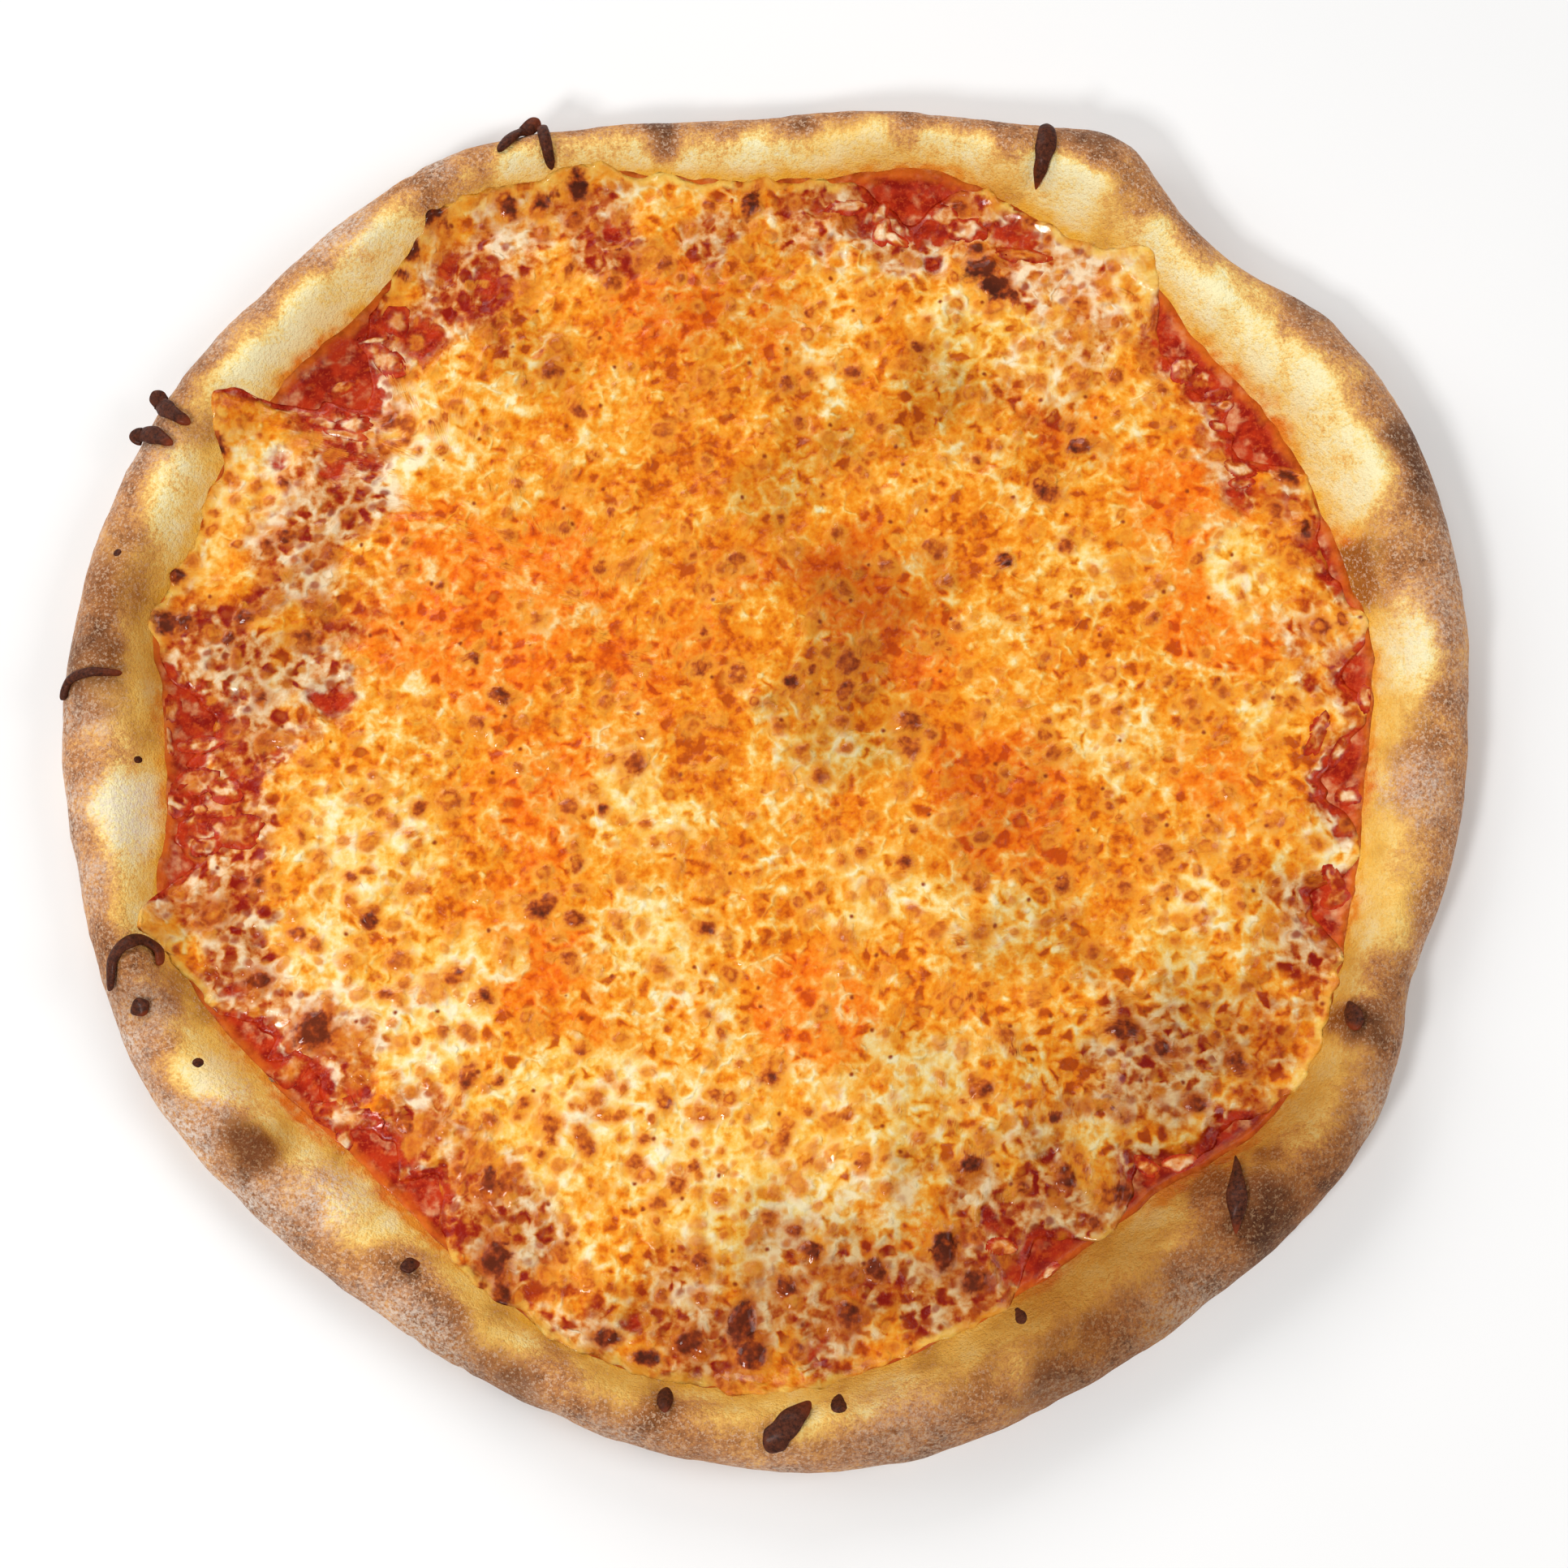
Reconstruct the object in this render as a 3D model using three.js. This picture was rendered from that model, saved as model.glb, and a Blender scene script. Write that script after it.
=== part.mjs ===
// Cheese pizza, about 325 mm across: a round of baked dough with a raised, lumpy rim, a thin
// layer of tomato sauce in its basin, melted shredded cheese with browned blisters over the
// sauce, and burnt shreds of cheese that lie on the rim.
// Millimetres, +Z up. The origin is under the middle, on the face that the pizza rests on.
// Angles are in degrees, counter-clockwise seen from above, from +X on the right-hand side.

import * as THREE from "three";

// ---- Driving dimensions ----

// Outer edge of the rim: [angle, radius] at each swelling and each dip.
const OUTER_EDGE = [
  [0, 158], [12, 162], [28, 167], [40, 165.5], [47, 160], [53, 161.5], [60.5, 168.5], [68, 162.5],
  [80, 157], [93, 153.5], [104, 156], [118, 161.5], [135, 160.5], [150, 161.5], [165, 160],
  [180, 158], [190, 155.5], [208, 155.5], [222, 151.5], [235, 149.5], [250, 151.5], [265, 155.5],
  [281, 158], [295, 155.5], [310, 155], [325, 157.5], [333, 156], [341, 152], [350, 155.5],
];
// Edge of the basin that holds the sauce, where the bare rim begins: [angle, radius].
const BASIN_EDGE = [
  [0, 135.5], [10, 139.5], [20, 139.5], [35, 141], [45, 140.5], [53, 145], [62, 143], [75, 145],
  [84, 139.5], [93, 138], [104, 143.5], [118, 147.5], [130, 142], [142, 142], [152, 142],
  [160, 139.5], [167, 142], [176, 136], [186, 135], [195, 139.5], [205, 136], [216, 130],
  [228, 127], [240, 131], [257, 138.5], [273, 139], [290, 133.5], [309, 129.5], [325, 138],
  [340, 136], [350, 134.5],
];
// Height of the rim's crest above the table: [angle, height].
const CREST_HEIGHT = [
  [0, 17], [28, 20], [47, 15.5], [61, 20.5], [75, 18], [93, 15], [120, 17.5], [150, 16.5],
  [175, 18], [205, 17], [235, 15], [260, 17.5], [281, 18.5], [305, 17.5], [325, 19], [341, 15.5],
];
// Swellings of dough on the inner side of the rim: [x, y, radius, height].
const DOUGH_SWELLINGS = [
  [138, 45, 9, 2.4], [-113, -85, 12, 2.2], [-138, 15, 10, 2], [104, -95, 12, 2.6],
  [130, -60, 9, 2.4], [-136, -50, 10, 2.6], [55, 139, 8, 1.4], [-95, 118, 10, 1.4],
];

const TRAY_THICKNESS = 3.6;
const TRAY_WAVE = 0.3;
const TRAY_WAVE_LENGTH = 75;
const SLOPE_FOOT = 5; // the rim starts to rise this far inside the basin's edge
const OUTER_SHARE = 0.5; // part of the rim's width that lies outside its crest
const BELLY_SHARE = 0.42; // the rim is widest at this share of its height
const RIM_LUMP = 0.7;
const RIM_LUMP_LENGTH = 24;
const RIM_BUBBLE = 0.3;
const RIM_BUBBLE_LENGTH = 13;
const RIM_RELIEF_ONSET = 4; // the relief grows from the basin's edge over this distance

const GAP = 0.3; // between neighbouring layers
const SAUCE_INSET = 1.5; // the sauce ends this far inside the basin's edge
const SAUCE_THICKNESS = 1;
const SAUCE_EDGE_THICKNESS = 0.35;

const CHEESE_OVERLAP = 0.5; // the cheese reaches this far past the basin's edge
const CHEESE_THICKNESS = 1.9;
const CHEESE_EDGE_THICKNESS = 0.7;
const CHEESE_EDGE_ROUNDING = 2.4;
const CHEESE_HILL = 0.45;
const CHEESE_HILL_LENGTH = 21;
const CHEESE_RIPPLE = 0.3;
const CHEESE_RIPPLE_LENGTH = 12.5;
const CHEESE_STEP = 7; // spacing of the points of its relief
const CHEESE_BORDER = 14; // width of the border whose points follow its edge
const CHEESE_MEAN_RADIUS = 122; // of the field inside the border

// Where the cheese stops short of the basin's edge and the red sauce shows:
// [angle, depth, half width in degrees].
const SAUCE_GAPS = [
  [8.5, 8, 2.5], [20, 4, 4], [34.5, 11, 4], [41, 8, 3], [46.5, 8, 3], [76, 10, 4],
  [138, 14, 5.5], [176, 12, 4], [184, 7, 4], [191, 8, 2.5], [209, 7, 3], [216, 8, 4],
  [225, 8, 4], [233, 7, 3], [299, 7, 3], [312, 5, 4], [320, 5, 4], [345, 8, 3], [358, 9, 4],
];
// Where the cheese has run up onto the rim: [angle, reach, half width in degrees].
const CHEESE_TONGUES = [
  [10, 1.5, 2], [53, 2.5, 2.5], [107, 2, 2.5], [120, 2.5, 4], [146.5, 8.5, 3.2], [195, 4, 2.5],
];
// Large browned blisters of the cheese: [x, y, radius, height].
const BLISTERS = [
  [52, 114, 8, 1.7], [-78, 127, 6, 1.4], [-100, -62, 7.5, 1.6], [-59, -112, 6, 1.3],
  [-5, -129, 7, 1.4], [39, -110, 6.5, 1.2], [80, -62, 5.5, 1.2], [88, -66, 5, 1.1],
  [45, -92, 5.5, 1.2], [-34, -129, 6, 1.2], [-17, -130, 6, 1.1], [-44, 135, 6, 1.2],
  [-4, 133, 5.5, 1.2], [-127, 72, 6, 1.3], [-134, 31, 6, 1.2], [120, 66, 5, 1.2],
  [-50, -35, 6, 1], [-60, 14, 5.5, 1], [-60, -97, 6.5, 1.2], [-113, -50, 5.5, 1.1],
];

// Burnt shreds on the rim: the path of each in x and y, its greatest width, and the share of
// that width left at its first and its last end.
const BURNT_SHREDS = [
  { path: [[-62, 141], [-57.5, 146.5], [-53, 151]], width: 3.6, ends: [0.6, 0.9] },
  { path: [[-50, 140], [-51, 144.5], [-50.8, 148]], width: 2.9, ends: [0.7, 0.9] },
  { path: [[-140.5, 84.5], [-136, 79], [-131, 75.5]], width: 4, ends: [0.9, 0.6] },
  { path: [[-145.5, 74], [-140, 73.5], [-134.5, 70.5]], width: 4.4, ends: [0.9, 0.6] },
  { path: [[65, 147], [64.5, 141], [63, 134]], width: 4.5, ends: [0.95, 0.4] },
  {
    path: [[-142.5, -54], [-141.5, -47.5], [-138, -43.8], [-134.6, -45], [-133.2, -49]],
    width: 2.8,
    ends: [0.7, 0.8],
  },
  { path: [[-137, -56], [-136, -58], [-135, -60]], width: 4.6, ends: [0.8, 0.8] },
  { path: [[0.5, -152], [5, -147.5], [10, -143.5]], width: 5.6, ends: [0.95, 0.7] },
  { path: [[103, -91], [101.8, -98], [101, -107]], width: 4.8, ends: [0.3, 0.3] },
  { path: [[128.8, -57], [129, -60], [129, -63.5]], width: 4.6, ends: [0.7, 1] },
  { path: [[-21, -140.5], [-21.2, -142.5], [-21, -145]], width: 3.4, ends: [0.9, 0.8] },
  {
    path: [[-156.5, 11.5], [-155, 15.5], [-150, 16.8], [-144, 16.5]],
    width: 2.4,
    ends: [0.9, 0.6],
  },
  { path: [[-78.5, -114.5], [-76.5, -114.2], [-74.5, -114]], width: 4, ends: [0.7, 0.7] },
];
const SHRED_HALF_THICKNESS = 0.85;
const SHRED_END_THICKNESS = 0.5; // share of the thickness left at the very ends
const SHRED_SPAN_LIFT = 0.08; // a wide shred bridges the curve of the rim: mm per mm of half width squared
const SHRED_STEP = 2.2; // spacing of the rings along a shred
const SHRED_LEAST_STEPS = 5;
const SHRED_SIDES = 8;

// Points around the rim, and the smaller rings of the flat middle as [share of radius, points].
const RIM_POINTS = 120;
const MIDDLE_RINGS = [[0.3, 24], [0.66, 60]];

// ---- Formulas ----

const RADIANS = Math.PI / 180;

function smooth(share) {
  const held = Math.min(1, Math.max(0, share));
  return held * held * (3 - 2 * held);
}

function blend(from, to, share) {
  return from + (to - from) * share;
}

// A closed curve through [angle, value] pairs: a cubic between neighbours, whose slope at each
// pair is that of the straight line between the pairs on its two sides.
function around(pairs, angle) {
  const turn = ((angle % 360) + 360) % 360;
  const before = pairs.findLastIndex((pair) => pair[0] <= turn);
  const at = (step) => {
    const index = before + step;
    const lap = Math.floor(index / pairs.length);
    const pair = pairs[index - lap * pairs.length];
    return [pair[0] + 360 * lap, pair[1]];
  };
  const [[a0, v0], [a1, v1], [a2, v2], [a3, v3]] = [at(-1), at(0), at(1), at(2)];
  const span = a2 - a1;
  const t = (turn - a1) / span;
  const slopeIn = ((v2 - v0) / (a2 - a0)) * span;
  const slopeOut = ((v3 - v1) / (a3 - a1)) * span;
  const t2 = t * t;
  const t3 = t2 * t;
  return (2 * t3 - 3 * t2 + 1) * v1 + (t3 - 2 * t2 + t) * slopeIn
    + (3 * t2 - 2 * t3) * v2 + (t3 - t2) * slopeOut;
}

// The strongest of a list of [angle, size, half width] bells at an angle.
function strongest(bells, angle) {
  let most = 0;
  for (const [centre, size, halfWidth] of bells) {
    const away = ((angle - centre + 540) % 360) - 180;
    most = Math.max(most, size * Math.exp(-((away / halfWidth) ** 2)));
  }
  return most;
}

// Rounded mounds of a list of [x, y, radius, height], added up at a point. Each has a small
// flat top, past which it falls off smoothly to its radius.
const MOUND_TOP = 0.23; // the flat top's share of the radius
function mounds(list, x, y) {
  let height = 0;
  for (const [centreX, centreY, radius, rise] of list) {
    const away = Math.hypot(x - centreX, y - centreY) / radius;
    height += rise * smooth((1 - away) / (1 - MOUND_TOP));
  }
  return height;
}

// Even unrest between about -1 and 1: six waves that cross at the golden angle, a little
// longer or shorter than each other.
const GOLDEN_ANGLE = 137.508 * RADIANS;
const WAVES = 6;
const UNREST_GAIN = 1.6;
function unrest(x, y, length, seed) {
  let sum = 0;
  for (let wave = 1; wave <= WAVES; wave += 1) {
    const heading = wave * GOLDEN_ANGLE + seed;
    const along = x * Math.cos(heading) + y * Math.sin(heading);
    const start = 1.7 * (seed + wave * wave);
    sum += Math.sin((2 * Math.PI * along) / (length * (0.7 + 0.1 * wave)) + start);
  }
  return (UNREST_GAIN * sum) / WAVES;
}

// ---- The crust's form ----

const RIM_SEED = 3;
const TRAY_SEED = 1;

function trayHeight(x, y) {
  return TRAY_THICKNESS + TRAY_WAVE * unrest(x, y, TRAY_WAVE_LENGTH, TRAY_SEED);
}

// Sizes of the rim's section at an angle. The crest lies outside the basin's edge, and the belly
// is the widest part of the rim's outer side.
function rimSection(angle) {
  const outer = around(OUTER_EDGE, angle);
  const basin = around(BASIN_EDGE, angle);
  const crest = outer - OUTER_SHARE * (outer - basin);
  const height = around(CREST_HEIGHT, angle);
  return { outer, basin, crest, height, belly: BELLY_SHARE * height };
}

// Upper side of the crust at a point: the flat tray, an S-shaped slope up to the crest, and a
// quarter of an ellipse from the crest to the belly.
function crustTop(x, y) {
  const radius = Math.hypot(x, y);
  const section = rimSection(Math.atan2(y, x) / RADIANS);
  const foot = section.basin - SLOPE_FOOT;
  const tray = trayHeight(x, y);
  if (radius <= foot) {
    return tray;
  }
  const onset = smooth((radius - section.basin) / RIM_RELIEF_ONSET);
  const relief = onset * (RIM_LUMP * unrest(x, y, RIM_LUMP_LENGTH, RIM_SEED)
    + RIM_BUBBLE * unrest(x, y, RIM_BUBBLE_LENGTH, RIM_SEED + 1)
    + mounds(DOUGH_SWELLINGS, x, y));
  if (radius <= section.crest) {
    const rise = smooth((radius - foot) / (section.crest - foot));
    return blend(tray, section.height, rise) + relief;
  }
  const out = Math.min(1, (radius - section.crest) / (section.outer - section.crest));
  const drop = Math.sqrt(1 - out * out);
  return blend(section.belly, section.height, drop) + relief * drop;
}

function pointAt(angle, radius, height) {
  return new THREE.Vector3(radius * Math.cos(angle * RADIANS), radius * Math.sin(angle * RADIANS), height);
}

function crustTopPoint(angle, radius) {
  const point = pointAt(angle, radius, 0);
  point.z = crustTop(point.x, point.y);
  return point;
}

// Radii of the crust's rows of points from the slope's foot to the crest. The layers that lie
// on the crust use the straight lines between these rows.
const SLOPE_SHARES = [0.15, 0.4, 0.7, 1];
function slopeRadii(angle) {
  const { basin, crest } = rimSection(angle);
  const upper = SLOPE_SHARES.map((share) => blend(basin, crest, share));
  return [basin - SLOPE_FOOT, basin - SAUCE_INSET, ...upper];
}

function crustFacetTop(angle, radius) {
  const radii = slopeRadii(angle);
  const next = radii.findIndex((row) => row >= radius);
  if (next < 1) {
    return crustTopPoint(angle, radius).z;
  }
  const [inner, outer] = [radii[next - 1], radii[next]];
  const share = (radius - inner) / (outer - inner);
  return blend(crustTopPoint(angle, inner).z, crustTopPoint(angle, outer).z, share);
}

// ---- Closed bodies from rows of points ----

function ring(points, place) {
  return Array.from({ length: points }, (_, index) => place((360 * index) / points));
}

// Joins rows of points, from the middle of the upper side over the edge to the middle of the
// under side, into one closed body. Neighbouring rows may differ in number of points: both are
// walked once around, and the one that lags takes the next step. A row of one point is a pole.
function closedBody(rows) {
  const starts = [];
  const positions = [];
  for (const row of rows) {
    starts.push(positions.length / 3);
    row.forEach((point) => positions.push(point.x, point.y, point.z));
  }
  const triangles = [];
  for (let index = 0; index + 1 < rows.length; index += 1) {
    const [inner, outer] = [rows[index].length, rows[index + 1].length];
    const innerSteps = inner === 1 ? 0 : inner;
    const outerSteps = outer === 1 ? 0 : outer;
    let a = 0;
    let b = 0;
    while (a < innerSteps || b < outerSteps) {
      const from = starts[index] + (a % inner);
      const to = starts[index + 1] + (b % outer);
      const outerLags = (b + 0.5) * innerSteps < (a + 0.5) * outerSteps;
      if (b < outerSteps && (a >= innerSteps || outerLags)) {
        b += 1;
        triangles.push(from, to, starts[index + 1] + (b % outer));
      } else {
        a += 1;
        triangles.push(from, to, starts[index] + (a % inner));
      }
    }
  }
  const geometry = new THREE.BufferGeometry();
  geometry.setAttribute("position", new THREE.Float32BufferAttribute(positions, 3));
  geometry.setIndex(triangles);
  geometry.computeVertexNormals();
  return geometry;
}

function namedMesh(name, geometry, colour, roughness) {
  const material = new THREE.MeshStandardMaterial({ color: colour, roughness, metalness: 0 });
  const mesh = new THREE.Mesh(geometry, material);
  mesh.name = name;
  return mesh;
}

// Rows of the flat middle that lie inside an edge, from the pole outwards.
function middleRows(edgeRadius, heightAt) {
  const pole = [new THREE.Vector3(0, 0, heightAt(0, 0))];
  const rings = MIDDLE_RINGS.map(([share, points]) => ring(points, (angle) => {
    const point = pointAt(angle, share * edgeRadius(angle), 0);
    point.z = heightAt(point.x, point.y);
    return point;
  }));
  return [pole, ...rings];
}

// ---- Crust: one piece of dough, tray and rim ----

const OUTER_SIDE_ANGLES = [66, 43, 21, 0, -25, -55, -90]; // from the crest down to the base
const BASE_SQUARENESS = 0.5;

function outerSidePoint(angle, turn) {
  const { outer, crest, belly } = rimSection(angle);
  const across = Math.cos(turn * RADIANS);
  const up = Math.sin(turn * RADIANS);
  if (turn > 0) {
    return crustTopPoint(angle, blend(crest, outer, across));
  }
  const radius = crest + (outer - crest) * across ** BASE_SQUARENESS;
  return pointAt(angle, radius, belly * (1 + up));
}

function crustGeometry() {
  const rows = middleRows((angle) => rimSection(angle).basin - SLOPE_FOOT, trayHeight);
  for (let row = 0; row < SLOPE_SHARES.length + 2; row += 1) {
    rows.push(ring(RIM_POINTS, (angle) => crustTopPoint(angle, slopeRadii(angle)[row])));
  }
  for (const turn of OUTER_SIDE_ANGLES) {
    rows.push(ring(RIM_POINTS, (angle) => outerSidePoint(angle, turn)));
  }
  rows.push(...middleRows((angle) => rimSection(angle).crest, () => 0).reverse());
  return closedBody(rows);
}

// ---- Tomato sauce: a thin spread over the tray ----

const SAUCE_TAPER = 9;

function sauceThickness(angle, radius) {
  const inside = around(BASIN_EDGE, angle) - SAUCE_INSET - radius;
  return blend(SAUCE_EDGE_THICKNESS, SAUCE_THICKNESS, smooth(inside / SAUCE_TAPER));
}

function sauceTop(angle, radius) {
  return crustFacetTop(angle, radius) + GAP + sauceThickness(angle, radius);
}

function sauceGeometry() {
  const footOf = (angle) => around(BASIN_EDGE, angle) - SLOPE_FOOT;
  const edgeOf = (angle) => around(BASIN_EDGE, angle) - SAUCE_INSET;
  const upper = middleRows(footOf, (x, y) => trayHeight(x, y) + GAP + SAUCE_THICKNESS);
  const lower = middleRows(footOf, (x, y) => trayHeight(x, y) + GAP);
  const rim = (radiusOf, heightOf) => ring(RIM_POINTS, (angle) => (
    pointAt(angle, radiusOf(angle), heightOf(angle, radiusOf(angle)))));
  const underside = (angle, radius) => crustFacetTop(angle, radius) + GAP;
  return closedBody([
    ...upper,
    rim(footOf, sauceTop),
    rim(edgeOf, sauceTop),
    rim(edgeOf, underside),
    rim(footOf, underside),
    ...lower.reverse(),
  ]);
}

// ---- Cheese: shreds melted into one bubbly layer ----

const CHEESE_SEED = 5;
const CHEESE_BORDER_STEPS = [14, 8, 4, 1.5, 0]; // rows of the border, from its edge inwards
const CHEESE_UNDER_SHARES = [0, 0.25, 0.5, 0.75, 1];
const CHEESE_UNDER_BORDER = 4;
const EDGE_SETTLING = 3; // past the sauce's edge the cheese comes down to the crust in this distance
const TONGUE_EXTRA_GAP = 0.05; // per mm that the cheese has run up onto the rim

function cheeseEdge(angle) {
  return around(BASIN_EDGE, angle) + CHEESE_OVERLAP
    + strongest(CHEESE_TONGUES, angle) - strongest(SAUCE_GAPS, angle);
}

// The cheese lies on the sauce, and past the sauce's edge it settles onto the crust.
function cheeseUnder(angle, radius) {
  const past = Math.max(0, radius - around(BASIN_EDGE, angle) + SAUCE_INSET);
  const sauce = (GAP + sauceThickness(angle, radius)) * Math.max(0, 1 - past / EDGE_SETTLING);
  return crustFacetTop(angle, radius) + GAP + sauce + TONGUE_EXTRA_GAP * past;
}

function cheeseThickness(x, y, insideEdge) {
  const relief = CHEESE_HILL * unrest(x, y, CHEESE_HILL_LENGTH, CHEESE_SEED)
    + CHEESE_RIPPLE * unrest(x, y, CHEESE_RIPPLE_LENGTH, CHEESE_SEED + 2)
    + mounds(BLISTERS, x, y);
  const full = CHEESE_THICKNESS + relief;
  const rounding = 1 - Math.exp(-insideEdge / CHEESE_EDGE_ROUNDING);
  return CHEESE_EDGE_THICKNESS + (full - CHEESE_EDGE_THICKNESS) * rounding;
}

function cheeseTopPoint(angle, radius) {
  const point = pointAt(angle, radius, cheeseUnder(angle, radius));
  point.z += cheeseThickness(point.x, point.y, cheeseEdge(angle) - radius);
  return point;
}

function cheeseGeometry() {
  const rows = [[cheeseTopPoint(0, 0)]];
  const ringCount = Math.round(CHEESE_MEAN_RADIUS / CHEESE_STEP);
  for (let index = 1; index < ringCount; index += 1) {
    const share = index / ringCount;
    const points = Math.round((2 * Math.PI * CHEESE_MEAN_RADIUS * share) / CHEESE_STEP);
    rows.push(ring(points, (angle) => (
      cheeseTopPoint(angle, share * (cheeseEdge(angle) - CHEESE_BORDER)))));
  }
  for (const inside of CHEESE_BORDER_STEPS) {
    rows.push(ring(RIM_POINTS, (angle) => cheeseTopPoint(angle, cheeseEdge(angle) - inside)));
  }
  const underStart = (angle) => Math.min(
    around(BASIN_EDGE, angle) - SLOPE_FOOT,
    cheeseEdge(angle) - CHEESE_UNDER_BORDER,
  );
  for (const share of [...CHEESE_UNDER_SHARES].reverse()) {
    rows.push(ring(RIM_POINTS, (angle) => {
      const radius = blend(underStart(angle), cheeseEdge(angle), share);
      return pointAt(angle, radius, cheeseUnder(angle, radius));
    }));
  }
  const under = (x, y) => trayHeight(x, y) + 2 * GAP + SAUCE_THICKNESS;
  rows.push(...middleRows(underStart, under).reverse());
  return closedBody(rows);
}

// ---- Burnt shreds: flat strips that lie on the rim with rounded ends ----

const OVERHANG_HOLD = 1.2; // past this distance inside the edge a shred runs on level
const SLOPE_REACH = 0.5; // distance to each side over which the rim's slope is taken
const END_ROUNDING = [0.12, 0.5, 0.87]; // size of the rings nearest to each end

function restingHeight(x, y) {
  const radius = Math.hypot(x, y);
  const { outer } = rimSection(Math.atan2(y, x) / RADIANS);
  const held = Math.min(1, (outer - OVERHANG_HOLD) / radius);
  return crustTop(x * held, y * held);
}

function restingNormal(x, y) {
  const riseX = restingHeight(x + SLOPE_REACH, y) - restingHeight(x - SLOPE_REACH, y);
  const riseY = restingHeight(x, y + SLOPE_REACH) - restingHeight(x, y - SLOPE_REACH);
  return new THREE.Vector3(-riseX, -riseY, 2 * SLOPE_REACH).normalize();
}

function shredGeometry({ path, width, ends }) {
  const curve = new THREE.CatmullRomCurve3(path.map(([x, y]) => new THREE.Vector3(x, y, 0)));
  const steps = Math.max(SHRED_LEAST_STEPS, Math.round(curve.getLength() / SHRED_STEP));
  const rows = [];
  for (let step = 0; step <= steps; step += 1) {
    const share = step / steps;
    const flat = curve.getPointAt(share);
    const heading = curve.getTangentAt(share);
    const normal = restingNormal(flat.x, flat.y);
    const side = new THREE.Vector3().crossVectors(heading, normal).normalize();
    const fromEnd = Math.min(step, steps - step);
    const rounding = fromEnd < END_ROUNDING.length ? END_ROUNDING[fromEnd] : 1;
    const taper = blend(blend(ends[0], 1, smooth(2 * share)), ends[1], smooth(2 * share - 1));
    const halfWidth = 0.5 * width * taper * rounding;
    const halfThickness = SHRED_HALF_THICKNESS * blend(SHRED_END_THICKNESS, 1, rounding);
    const lift = halfThickness + GAP + SHRED_SPAN_LIFT * halfWidth ** 2;
    const middle = new THREE.Vector3(flat.x, flat.y, restingHeight(flat.x, flat.y))
      .addScaledVector(normal, lift);
    rows.push(ring(SHRED_SIDES, (angle) => middle.clone()
      .addScaledVector(side, halfWidth * Math.cos(angle * RADIANS))
      .addScaledVector(normal, halfThickness * Math.sin(angle * RADIANS))));
  }
  const poleOf = (row) => [row.reduce((sum, point) => sum.add(point), new THREE.Vector3())
    .divideScalar(SHRED_SIDES)];
  return closedBody([poleOf(rows[0]), ...rows, poleOf(rows[steps])]);
}

// ---- The pizza ----

const pizza = new THREE.Group();
pizza.add(
  namedMesh("crust", crustGeometry(), 0xd8a566, 0.75),
  namedMesh("tomato_sauce", sauceGeometry(), 0xa51c0c, 0.35),
  namedMesh("cheese", cheeseGeometry(), 0xf5b545, 0.4),
);
BURNT_SHREDS.forEach((shred, index) => {
  pizza.add(namedMesh(`burnt_shred_${index + 1}`, shredGeometry(shred), 0x3c1912, 0.5));
});

export default pizza;
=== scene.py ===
"""A whole cheese pizza: baked crust, tomato sauce, blistered melted cheese and burnt shreds.

Lengths are written in millimetres and put into the meshes in metres. +X is the pizza's right-hand
side, +Y its far side, +Z up. Angles are in degrees, counter-clockwise from +X seen from above.
"""
import itertools
import math
import bpy
import numpy as np
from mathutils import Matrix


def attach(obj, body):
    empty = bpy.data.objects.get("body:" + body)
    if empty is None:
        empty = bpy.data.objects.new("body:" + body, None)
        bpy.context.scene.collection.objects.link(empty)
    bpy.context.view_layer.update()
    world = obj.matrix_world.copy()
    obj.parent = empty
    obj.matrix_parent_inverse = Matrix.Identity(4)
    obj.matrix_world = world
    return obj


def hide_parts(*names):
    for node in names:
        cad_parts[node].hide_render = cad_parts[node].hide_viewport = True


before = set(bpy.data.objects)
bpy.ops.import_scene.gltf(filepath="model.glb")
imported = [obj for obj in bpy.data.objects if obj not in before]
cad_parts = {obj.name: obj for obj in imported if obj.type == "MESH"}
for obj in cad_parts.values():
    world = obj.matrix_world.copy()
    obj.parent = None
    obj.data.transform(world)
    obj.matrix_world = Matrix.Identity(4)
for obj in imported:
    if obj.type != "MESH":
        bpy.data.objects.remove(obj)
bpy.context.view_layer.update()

# ---------------------------------------------------------------- camera
# It looks down on the pizza from the front, as somebody does who stands at the table, and lies at
# the photo's viewing angle.
CAMERA_ELEVATION = 78.0
CAMERA_DISTANCE = 693.0
CAMERA_AIM = (4.2, -4.7)
LENS = 70.0
FILM = 36.0
MM = 0.001

lift = math.radians(CAMERA_ELEVATION)
camera_data = bpy.data.cameras.new("camera")
camera_data.lens = LENS
camera_data.sensor_width = FILM
camera = bpy.data.objects.new("camera", camera_data)
camera.location = (
    CAMERA_AIM[0] * MM,
    (CAMERA_AIM[1] - CAMERA_DISTANCE * math.cos(lift)) * MM,
    CAMERA_DISTANCE * math.sin(lift) * MM,
)
camera.rotation_euler = (math.radians(90.0 - CAMERA_ELEVATION), 0.0, 0.0)
bpy.context.collection.objects.link(camera)
bpy.context.scene.camera = camera

# ---------------------------------------------------------------- light and floor
# A small lamp at the near left and large soft panels at the right, behind and at the left, in a
# pale room, over a table top with a plain pale paint.
# Name, place and width in metres, and power.
LAMPS = [
    ("key_lamp", (-0.62, -0.75, 1.05), 0.26, 8.6),
    ("right_panel", (1.15, -0.15, 1.1), 0.8, 7.8),
    ("back_panel", (-0.4, 1.35, 0.95), 0.8, 9.6),
    ("left_panel", (-1.25, 0.45, 0.9), 0.8, 6.4),
]
ROOM_COLOUR = (255, 252, 248)
ROOM_STRENGTH = 0.26
FLOOR_HALF_WIDTH = 4.0
FLOOR_GRAIN = 90.0


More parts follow.
